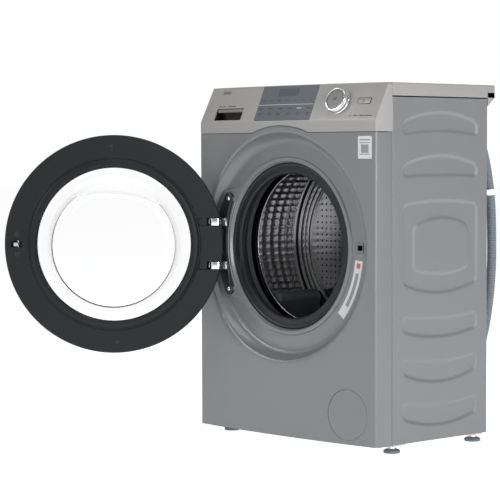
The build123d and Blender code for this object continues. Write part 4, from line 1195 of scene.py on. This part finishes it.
        ring = turned("selector_ring_trim", [
            (24.5, 4.0), (24.5, 17.2, 0.8), (26.0, 18.0, 0.6), (28.0, 18.0, 1.0), (29.4, 16.0, 1.2),
            (28.6, 13.5, 0.6),
            (29.4, 11.0, 0.6), (30.0, 4.5, 1.0), (31.0, 2.4, 0.5), (31.0, 1.3, 0.4), (8.0, 1.3), (8.0, 4.0)],
                      96,
            centre=(0.0, 0.0))
        finish(on_face(ring, frame_here), Finish.CHROME, "selector", "selector_ring", angle=50)
        face = turned("start_key_face", [
            (0.0, 9.0), (5.0, 9.0), (5.0, 12.0), (23.9, 12.0, 0.5), (23.9, 16.4, 1.0), (20.0, 16.9, 4.0),
            (0.0, 17.1)],
            96, False, (0.0, 0.0))
        finish(on_face(face, frame_here), Finish.KNOB_FACE, "start_key", "start_button", angle=40)
        for index, x in enumerate((-4.0, 0.4, 3.6)):
            mark = block(f"start_mark_{index + 1}", (x - 0.7, x + 0.9), (-3.4, 3.4), (17.0, 17.35), 0.1, 1)
            finish(moved(mark, frame_here), Finish.PRINT, "start_key")
        key_here = lean_frame(*self.key_place())
        half_w, half_h = self.key_size[0] / 2, self.key_size[1] / 2
        key = block("power_key_cap", (-half_w, half_w), (-half_h, half_h), (-5.0, 1.2))
        bevel_edges(key, lambda m, a: abs(a.z) > 0.9, 2.5, 4)
        bevel_edges(key, lambda m, a: m.z > 1.1 and abs(a.z) < 0.1, 0.4, 2)
        finish(moved(key, key_here), Finish.CONSOLE, "power_key", "power_button")
        rim = block("power_key_rim", (-half_w - 1.6, half_w + 1.6), (-half_h - 1.6, half_h + 1.6),
                    (0.05, 0.5))
        bevel_edges(rim, lambda m, a: abs(a.z) > 0.9, 3.0, 4)
        hole = block("rim_tool", (-half_w - 0.5, half_w + 0.5), (-half_h - 0.5, half_h + 0.5), (-3.0, 3.0))
        bevel_edges(hole, lambda m, a: abs(a.z) > 0.9, 2.7, 4)
        cut(rim, hole)
        finish(moved(rim, key_here), Finish.PRINT, "cabinet")
        mark = turned("power_mark", [(2.2, 1.25), (3.0, 1.25), (3.0, 1.5), (2.2, 1.5)], 32, centre=(0.0, 0.0),
                      arc=300)
        finish(on_face(mark, key_here), Finish.PRINT, "power_key")

    def build(self) -> None:
        """Builds and dresses the console."""
        self.fascia()
        self.drawer()
        self.touch_window()
        self.selector()


# ------------------------------------------------------------------ door

@dataclass
class Door:
    """Porthole door: dark liner ring, cover ring, glass bowl and fittings, modelled closed and swung open."""

    outer_r: float = 265.0
    glass_r: float = 185.5

    def rings(self) -> None:
        """Liner and cover."""
        out = self.outer_r
        liner = turned("door_liner_ring", [
            (out, -206.0), (out, -196.0, 3.0), (out - 1.2, -191.6, 1.5), (out - 4.0, -190.2, 2.0),
            (211.5, -190.0, 0.6),
            (210.0, -188.6, 0.5), (208.5, -190.0, 0.6), (206.5, -189.2, 1.5), (202.5, -184.4, 2.0),
            (196.0, -182.4, 3.0),
            (189.0, -182.6, 2.5), (self.glass_r, -186.5, 1.5), (self.glass_r, -194.0), (200.0, -194.0),
            (200.0, -206.0)], 192)
        arm_z = arm_levels()
        for index, (low, high) in enumerate(arm_z):
            cut(liner, block(f"arm_tool_{index}", (-280, -205), (-215, -180), (low - 1.8, high + 1.8), 1.5))
        latch = joint_place("latch_tilt").z
        cut(liner, block("latch_tool", (224.0, 250.0), (-208, -180), (latch - 8.5, latch + 8.5), 2.0))
        finish(swing_open(liner), Finish.DOOR_DARK, "door", "door_inner_ring", angle=32)
        for index, (low, high) in enumerate(arm_z):
            well = block(f"arm_well_{index + 1}", (-262, -206.6), (-205.5, -191.5), (low - 1.7, high + 1.7))
            delete_faces(well, lambda middle, normal: normal.y > 0.9)
            thicken(well, 0.8)
            cut(well, rod("pin_tool", (HINGE.x, HINGE.y, 300), (HINGE.x, HINGE.y, 600), 10.0, 0, 32))
            finish(swing_open(well), Finish.BLACK, "door")
        cover = turned("door_cover_ring", [
            (out, -206.3), (263.0, -216.0, 8.0), (252.0, -229.0, 8.0), (235.0, -236.0, 12.0),
            (215.0, -237.0, 12.0),
            (198.0, -231.0, 6.0), (188.5, -220.0, 4.0), (186.5, -206.5), (186.5, -200.4), (199.0, -200.4),
            (199.0, -204.0),
            (190.0, -204.0), (192.0, -217.0, 3.0), (200.0, -227.0, 4.0), (216.0, -233.0, 6.0),
            (234.0, -232.0, 6.0),
            (249.0, -225.0, 6.0), (259.0, -214.0, 4.0), (261.0, -206.3)], 192)
        finish(swing_open(cover), Finish.DOOR_COVER, "door", "door_outer_ring")

    def glass(self) -> None:
        """Glass bowl, flattened at its top."""
        def outline(inner: bool) -> Outline:
            """Section of the bowl's inner or outer face."""
            off = 3.2 if inner else 0.0
            return [(0.0, -103.5 - off), (128.0 - off, -105.5 - off, 14.0), (148.0 - off, -112.0 - off, 12.0),
                    (153.5 - off, -139.0, 12.0), (160.5 - off, -166.5, 10.0), (173.0 - off, -186.0, 8.0),
                    (183.0, -194.6 - off * 0.9)]
        section = list(outline(False)) + [(198.5, -194.6, 0.0),
                                          (198.5, -199.8, 0.0)] + list(outline(True))[::-1]
        bowl = turned("door_bowl_glass", section, 160, False)
        for vertex in bowl.data.vertices:
            spot = vertex.co / MM
            depth = ease((spot.y + 186.0) / 60.0)
            height = spot.z - AXIS_Z
            top = 118.0 + 0.10 * spot.x
            if height > top - 10.0 and depth > 0:
                over = height - (top - 10.0)
                vertex.co.z -= over * 0.55 * depth * MM
        finish(swing_open(bowl), Finish.GLASS, "door", "door_glass", angle=60)

    def fittings(self) -> None:
        """Plugs, stop pads and a slotted plug on the liner's inner face."""
        face = -190.2

        def stud(name: str, x: float, z: float, radius: float, rise: float, look: Finish) -> None:
            """Low round plug with a rounded rim."""
            plug = turned(name,
                          [(0.0, face + rise), (radius * 0.62, face + rise, 0.5),
                           (radius * 0.72, face + rise + 0.6,
                          0.4), (radius - 0.3, face + rise * 0.6, 0.4), (radius, face - 0.6)], 40, False,
                          (x, z))
            finish(swing_open(plug), look, "door")

        stud("liner_plug_top", 6.0, AXIS_Z + 237.0, 6.0, 1.0, Finish.BLACK)
        stud("liner_plug_bottom", -6.0, AXIS_Z - 237.0, 6.5, 1.0, Finish.BLACK)
        latch = joint_place("latch_tilt").z
        for sign in (-1, 1):
            stud("stop_pad_" + ("low" if sign < 0 else "high"), 235.0, latch + sign * 24.0, 7.0, 1.4,
                 Finish.BLACK)
        slot = prism("liner_plug_slot", soften([(3.4, AXIS_Z + 226, 1.2), (8.6, AXIS_Z + 226, 1.2),
                     (8.6, AXIS_Z + 234, 1.2), (3.4, AXIS_Z + 234, 1.2)]), (face - 0.2, face + 0.7), 0.2)
        finish(swing_open(slot), Finish.BLACK, "door")

    def build(self) -> None:
        """Builds and dresses the door."""
        self.rings()
        self.glass()
        self.fittings()


@dataclass
class Hinge:
    """Curved bracket in the dish and the two plated arms."""

    face_y: float = -175.4
    thick: float = 4.0

    def bracket(self) -> None:
        """Bracket: two rounded wings and a slim bridge."""
        rows = []
        for step in range(105):
            angle = -32.5 + 65.0 * step / 104
            inner = 209.0 + 4.5 * ease((abs(angle) - 12.0) / 14.0)
            reach = math.sqrt(max(0.0, 1 - ((abs(angle) - 29.0) / 3.5) ** 2)) if abs(angle) > 29.0 else 1.0
            wing = ease((abs(angle) - 7.0) / 6.0)
            outer = 222.0 + 22.0 * wing - 2.0 * ease((abs(angle) - 20.0) / 10.0)
            middle = (inner + outer) / 2
            half = max(0.4, (outer - inner) / 2 * reach)
            rows.append((math.radians(180 + angle), middle - half, middle + half, wing))
        rings = []
        for angle, inner, outer, wing in rows:
            crown = self.face_y - self.thick - 2.5 * wing
            section = [(inner, self.face_y + 0.6), (inner, crown + 1.2), (inner + 0.9, crown + 0.3),
                       (inner + 2.0, crown),
                       (outer - 2.2, crown), (outer - 0.9, crown + 0.5), (outer, crown + 1.8),
                       (outer, self.face_y + 0.6)]
            rings.append([(r * math.cos(angle), y, AXIS_Z + r * math.sin(angle)) for r, y in section])
        finish(loft("hinge_bracket_casting", rings), Finish.BRACKET, "cabinet", "hinge_bracket", angle=45)
        edge = turned("hinge_bracket_edge",
                      [(206.2, -173.0), (206.2, -176.2, 0.4), (207.8, -176.2, 0.4), (207.8, -173.0)],
                      48, arc=60.0)
        finish(moved(edge, turn(-150.0, "Y", (0, 0, AXIS_Z))), Finish.ZINC, "cabinet")
        for index, angle in enumerate((151.0, 209.0)):
            spot = (227.0 * math.cos(math.radians(angle)), AXIS_Z + 227.0 * math.sin(math.radians(angle)))
            self.screw(f"bracket_screw_{index + 1}", spot, self.face_y - self.thick - 2.5)

    def screw(self, name: str, spot: tuple[float, float], y: float, radius: float = 5.0) -> None:
        """Pan head screw with a cross recess, its head towards -Y."""
        head = turned(name,
                      [(0.0, y - 3.0), (radius * 0.7, y - 2.7, 1.2), (radius, y - 0.6, 0.6),
                       (radius, y + 0.2)],
                      32, False, spot)
        with editing(head, everything=True):
            bpy.ops.mesh.fill_holes(sides=64)
        recalculate(head)
        bars = [block(name + "_tool", (spot[0] - a, spot[0] + a), (y - 4, y - 1.6),
                      (spot[1] - b, spot[1] + b))
                for a, b in ((0.5, radius * 0.6), (radius * 0.6, 0.5))]
        cut(head, *bars)
        finish(head, Finish.CHROME, "cabinet")

    def arms(self) -> None:
        """Gooseneck arms from the bracket to the hinge pins."""
        pieces = []
        for z in arm_levels():
            path = soften([(-211.0, -175.0, 0.0), (-211.0, -206.0, 11.0), (-224.0, -213.5, 7.0),
                           (HINGE.x + 2.0, HINGE.y - 3.0, 0.0)], False, 8)
            rings = []
            for index, (x, y) in enumerate(path):
                before, after = path[max(0, index - 1)], path[min(len(path) - 1, index + 1)]
                along = (Vector(after) - Vector(before)).normalized()
                side = Vector((-along.y, along.x)) * 3.6
                lead = max(side.y, side.x, key=abs)
                ring = soften([(lead, z[0], 1.2), (lead, z[1], 1.2), (-lead, z[1], 1.2), (-lead, z[0], 1.2)])
                rings.append([(x + a * side.x / lead, y + a * side.y / lead, b) for a, b in ring])
            pieces.append(loft("arm", rings))
            pieces.append(rod("hub", (HINGE.x, HINGE.y, z[0]), (HINGE.x, HINGE.y, z[1]), 7.8, 1.2, 40))
            pieces.append(block("foot", (-217.0, -204.5), (-182.5, -172.8), (z[0] - 1.5, z[1] + 1.5), 2.0))
        finish(join("hinge_arm_pair", pieces), Finish.CHROME, "cabinet", "hinge_arms", angle=40)

    def build(self) -> None:
        """Builds and dresses the hinge."""
        self.bracket()
        self.arms()


# ------------------------------------------------------------------ drum and seal

@dataclass
class Drum:
    """Steel drum with pillow pressings, ribbed back, lifters, and the rubber seal in front of it."""

    inner_r: float = 240.0
    mouth_r: float = 184.0
    rows: int = 86
    pitch: float = 27.5
    first_y: float = -87.0
    columns: int = 6
    hole: float = 1.7
    rise: float = 2.6

    def wall(self) -> None:
        """Cylinder wall with pillows and a small hole at each of their corners."""
        step = 2 * math.pi * self.inner_r / self.rows
        shares = [self.hole, step * 0.28, step * 0.5, step * 0.72, step - self.hole, step + self.hole]
        angles = [-self.hole] + [row * step + share for row in range(self.rows) for share in shares]
        cross = [self.hole, self.pitch * 0.25, self.pitch * 0.5, self.pitch * 0.75, self.pitch - self.hole,
                 self.pitch + self.hole]
        last_y = self.first_y + self.columns * self.pitch
        depths = [-94.0, self.first_y - 4.0, self.first_y - self.hole, self.first_y + self.hole]
        depths += [self.first_y + column * self.pitch + share for column in range(self.columns) for share in cross[1:]]
        depths += [last_y + 4.0, last_y + 9.0, last_y + 14.0, 99.6]
        depths = sorted(set(round(value, 4) for value in depths))

        def pillow(arc: float, y: float) -> float:
            """Height of the pressing at a point."""
            across, along = (arc / step) % 1.0, (y - self.first_y) / self.pitch
            if not 0 <= along <= self.columns:
                return 0.0
            across, along = abs(across * 2 - 1), abs((along % 1.0) * 2 - 1)
            return self.rise * (1 - across ** 3) * (1 - along ** 4)

        def place(arc: float, y: float) -> tuple[float, float, float]:
            """Point of the wall."""
            radius, angle = self.inner_r - pillow(arc, y), arc / self.inner_r
            return radius * math.cos(angle), y, AXIS_Z + radius * math.sin(angle)

        wall = sheet("drum_wall", angles, depths, place)

        def is_hole(middle: Vector, normal: Vector) -> bool:
            """Whether a face is one of the small holes."""
            arc = (math.atan2(middle.z - AXIS_Z, middle.x) % (2 * math.pi)) * self.inner_r
            off_row = abs((arc / step + 0.5) % 1.0 - 0.5) * step
            along = (middle.y - self.first_y) / self.pitch
            off_column = abs((along + 0.5) % 1.0 - 0.5) * self.pitch
            return off_row < 0.8 and off_column < 0.8 and -0.1 < along < self.columns + 0.1

        delete_faces(wall, is_hole)
        with editing(wall, everything=True):
            bpy.ops.mesh.remove_doubles(threshold=0.00001)
            bpy.ops.mesh.normals_make_consistent(inside=True)
        thicken(wall, 0.6)
        mouth = turned("drum_mouth", [
            (self.inner_r + 0.6, -93.4), (self.inner_r - 2.0, -94.4, 2.0), (196.0, -94.0, 3.0),
            (190.0, -96.5, 3.0),
            (self.mouth_r, -96.5, 2.2), (self.mouth_r - 0.6, -93.5, 2.0), (self.mouth_r + 2.4, -91.0, 1.5),
            (190.0, -93.4, 1.5), (196.0, -92.6, 2.0), (self.inner_r, -92.4)], 192)
        finish(join("drum_wall", [wall, mouth]), Finish.STAINLESS, "drum", "drum_shell", angle=50)

    def back(self) -> None:
        """Back wall: three ribs round a perforated middle."""
        profile: list[tuple[float, ...]] = [(self.inner_r - 0.4, 99.8)]
        for centre in (231.0, 217.0, 203.0):
            profile += [(centre + 6.5, 97.6, 1.5), (centre + 4.6, 91.0, 2.0), (centre - 3.4, 91.0, 2.0),
                        (centre - 5.6, 97.0, 1.5)]
        profile += [(190.0, 95.4, 2.0), (184.0, 95.2)]
        rings = turned("drum_back_ribs", profile, 192, False)
        hole, pitch, count = 2.3, 15.4, 12
        lines = []
        for index in range(-count, count + 1):
            lines += [index * pitch - hole, index * pitch + hole, (index + 0.5) * pitch]

        def place(x: float, up: float) -> tuple[float, float, float]:
            """Point of the perforated middle, dished slightly."""
            radius = math.hypot(x, up)
            return x, 96.0 - 3.0 * ease((70.0 - radius) / 40.0), AXIS_Z + up

        plate = sheet("drum_back_plate", lines, lines, place)

        def is_open(middle: Vector, normal: Vector) -> bool:
            """Whether a face is a hole or lies outside the middle."""
            up = middle.z - AXIS_Z
            radius = math.hypot(middle.x, up)
            off = [abs((value / pitch + 0.5) % 1.0 - 0.5) * pitch for value in (middle.x, up)]
            return radius > 187.0 or (max(off) < 1.0 and 56.0 < radius < 180.0)

        delete_faces(plate, is_open)
        for piece in (rings, plate):
            with editing(piece, everything=True):
                bpy.ops.mesh.normals_make_consistent(inside=False)
            face_front(piece)
            thicken(piece, 0.6)
        finish(join("drum_back_ribs", [rings, plate]), Finish.STAINLESS, "drum", "drum_back", angle=40)

    def lifters(self) -> None:
        """Three tapered paddles."""
        pieces = []
        for angle in (222.0, 342.0, 102.0):
            paddle = block("paddle", (188.0, 238.6), (-82.0, 92.0), (-34.0, 34.0))
            for vertex in paddle.data.vertices:
                if vertex.co.x < 0.2:
                    vertex.co.z *= 0.34
                    vertex.co.y = (5.0 + (vertex.co.y / MM - 5.0) * 0.80) * MM
            bevel_edges(paddle, lambda m, a: m.x < 200.0 or (m.x < 237.0 and abs(a.x) > 0.5), 12.0, 5)
            pieces.append(moved(paddle, Matrix.Translation((0, 0, AXIS_Z)) @ Matrix.Rotation(
                -math.radians(angle), 4, "Y")))
        finish(join("drum_paddles", pieces), Finish.LIFTER, "drum", "drum_lifters", angle=50)

    def seal(self) -> None:
        """Rubber seal with its bead, funnel, inner lip and folds."""
        seal = turned("door_seal", [
            (197.4, -160.0), (197.2, -166.4, 1.5), (193.6, -168.2, 2.0), (189.4, -166.0, 2.0),
            (184.0, -166.0, 3.0),
            (176.0, -167.2, 4.0), (171.4, -163.5, 3.0), (170.6, -157.0, 2.5), (172.5, -150.0, 2.5),
            (182.0, -147.5, 3.0),
            (194.4, -144.5, 2.0), (194.4, -123.5, 1.0), (202.0, -123.5, 1.0), (203.0, -147.0, 3.0),
            (199.0, -151.5, 2.0),
            (180.0, -152.5, 2.0), (176.0, -157.0, 2.0), (180.0, -160.0, 2.0)], 192)
        finish(seal, Finish.SEAL, "cabinet", "door_gasket", angle=60)

    def build(self) -> None:
        """Builds and dresses drum and seal."""
        self.wall()
        self.back()
        self.lifters()
        self.seal()


# ------------------------------------------------------------------ feet

@dataclass
class Feet:
    """Levelling feet with soft pads and threaded stems."""

    def build(self) -> None:
        """Builds the four feet."""
        for name in ("front_left", "front_right", "rear_left", "rear_right"):
            low, high = corners(f"level_foot_{name}")
            x, y = (low.x + high.x) / 2, (low.y + high.y) / 2
            radius = (high.x - low.x) / 2
            pad = turned("pad", [(0.0, 0.0), (radius - 1.5, 0.0, 0.6), (radius, 1.5, 0.8), (radius, 6.0, 1.5),
                                 (radius - 2.5, 8.0, 1.0), (13.0, 9.4, 1.0), (12.0, 10.0, 0.4), (0.0, 10.0)],
                         64, False,
                         (0.0, 0.0))
            upright = Matrix.Translation((x, y, 0)) @ Matrix.Rotation(math.radians(90), 4, "X")
            pad = moved(pad, upright)
            thread: list[tuple[float, ...]] = [(0.0, 9.5)]
            for turn_index in range(20):
                level = 10.5 + turn_index * 2.0
                thread += [(4.3, level), (5.0, level + 1.0)]
            thread += [(4.3, 51.0), (0.0, 52.0)]
            stem = moved(turned("stem", thread, 24, False, (0.0, 0.0)), upright)
            finish(join(f"foot_{name}_pad", [pad]), Finish.CASE, f"foot_{name}", f"level_foot_{name}")
            finish(join(f"foot_{name}_stem", [stem]), Finish.ZINC, f"foot_{name}")


# ------------------------------------------------------------------ carried-over nodes, studio

LOOKS = {look.slot: look for look in reversed(Finish)}


def dress_nodes() -> None:
    """Gives every CAD node the finish of its material slot."""
    slots = {part["node"]: part["material_slot"] for part in frame["record"]["subparts"]}
    special = {"pump_filter": Finish.WHITE, "drain_hose": Finish.HOSE}
    for name, node in frame["nodes"].items():
        look = special.get(name) or LOOKS[slots[name]]
        for slot in node.material_slots:
            slot.material = look.material()
        log.info("node %s: %s", name, look.name)


@dataclass
class Studio:
    """Camera, soft lights and pale floor."""

    eye: tuple[float, float, float] = (3.4208, -3.4744, 0.6884)
    yaw: float = 47.095
    pitch: float = 2.739
    roll: float = -0.155
    lens: float = 144.73
    ambient: float = 0.34
    lamps: tuple[tuple, ...] = (            # name, place and size in metres, watts
        ("key", (-2.2, -3.6, 2.6), (2.0, 1.6), 55.0), ("right_strip", (4.2, -1.0, 1.2), (0.4, 2.2), 90.0),
        ("side_fill", (3.6, 1.2, 1.6), (1.4, 2.0), 30.0), ("top", (0.3, -0.6, 3.4), (2.0, 1.6), 26.0))

    def camera(self) -> None:
        """Sets the camera."""
        data = bpy.data.cameras.new("camera")
        data.lens, data.sensor_width = self.lens, 36.0
        camera = bpy.data.objects.new("camera", data)
        bpy.context.scene.collection.objects.link(camera)
        yaw, pitch = math.radians(self.yaw), math.radians(self.pitch)
        ahead = Vector((-math.sin(yaw) * math.cos(pitch), math.cos(yaw) * math.cos(pitch), -math.sin(pitch)))
        camera.matrix_world = (Matrix.Translation(self.eye) @ ahead.to_track_quat("-Z",
                                                                                  "Y").to_matrix().to_4x4()
                               @ Matrix.Rotation(math.radians(self.roll), 4, "Z"))
        bpy.context.scene.camera = camera

    def light(self, name: str, place: tuple[float, float, float], size: tuple[float, float],
              power: float) -> None:
        """Adds a soft box that points at the machine's middle."""
        data = bpy.data.lights.new(name, "AREA")
        data.shape, data.size, data.size_y, data.energy = "RECTANGLE", size[0], size[1], power
        lamp = bpy.data.objects.new(name, data)
        bpy.context.scene.collection.objects.link(lamp)
        lamp.location = place
        lamp.rotation_euler = (Vector((0.0, 0.0, 0.45)) - Vector(place)).to_track_quat("-Z", "Y").to_euler()

    def world(self) -> None:
        """Even surroundings, seen white but dimmer as a light."""
        world = bpy.data.worlds.new("studio_world")
        world.use_nodes = True
        bpy.context.scene.world = world
        nodes, links = world.node_tree.nodes, world.node_tree.links
        shine = nodes["Background"]
        path = nodes.new("ShaderNodeLightPath")
        seen = nodes.new("ShaderNodeMath")
        seen.operation = "MAXIMUM"
        links.new(path.outputs["Is Camera Ray"], seen.inputs[0])
        links.new(path.outputs["Is Transmission Ray"], seen.inputs[1])
        mix = nodes.new("ShaderNodeMix")
        mix.inputs["A"].default_value, mix.inputs["B"].default_value = self.ambient, 1.0
        links.new(seen.outputs["Value"], mix.inputs["Factor"])
        links.new(mix.outputs["Result"], shine.inputs["Strength"])
        shine.inputs["Color"].default_value = (1.0, 1.0, 1.0, 1.0)

    def floor(self) -> None:
        """Wide pale floor."""
        bpy.ops.object.select_all(action="DESELECT")
        bpy.ops.mesh.primitive_plane_add(size=60.0)
        floor = bpy.context.active_object
        floor.name = "studio_floor"
        floor.location.z = -0.0005
        board = Board("studio_floor")
        board.give(Base_Color=board.blend(board.noise(0.4), (0.93, 0.93, 0.93), (0.95, 0.95, 0.95)),
                   Roughness=0.9,
                   Emission_Color=(1.0, 1.0, 1.0, 1.0), Emission_Strength=0.65)
        floor.data.materials.append(board.material)

    def build(self) -> None:
        """Sets up the studio."""
        bpy.context.scene.view_settings.view_transform = "Standard"
        self.camera()
        self.world()
        self.floor()
        for name, place, size, power in self.lamps:
            self.light(name, place, size, power)


def main() -> None:
    """Builds the machine's pieces in order, then the studio."""
    logging.basicConfig(level=logging.INFO, format="%(message)s")
    dress_nodes()
    for assembly in (Cabinet(), Console(), Door(), Hinge(), Drum(), Feet(), Studio()):
        log.info("building %s", type(assembly).__name__)
        assembly.build()


if __name__ == "__main__":
    main()
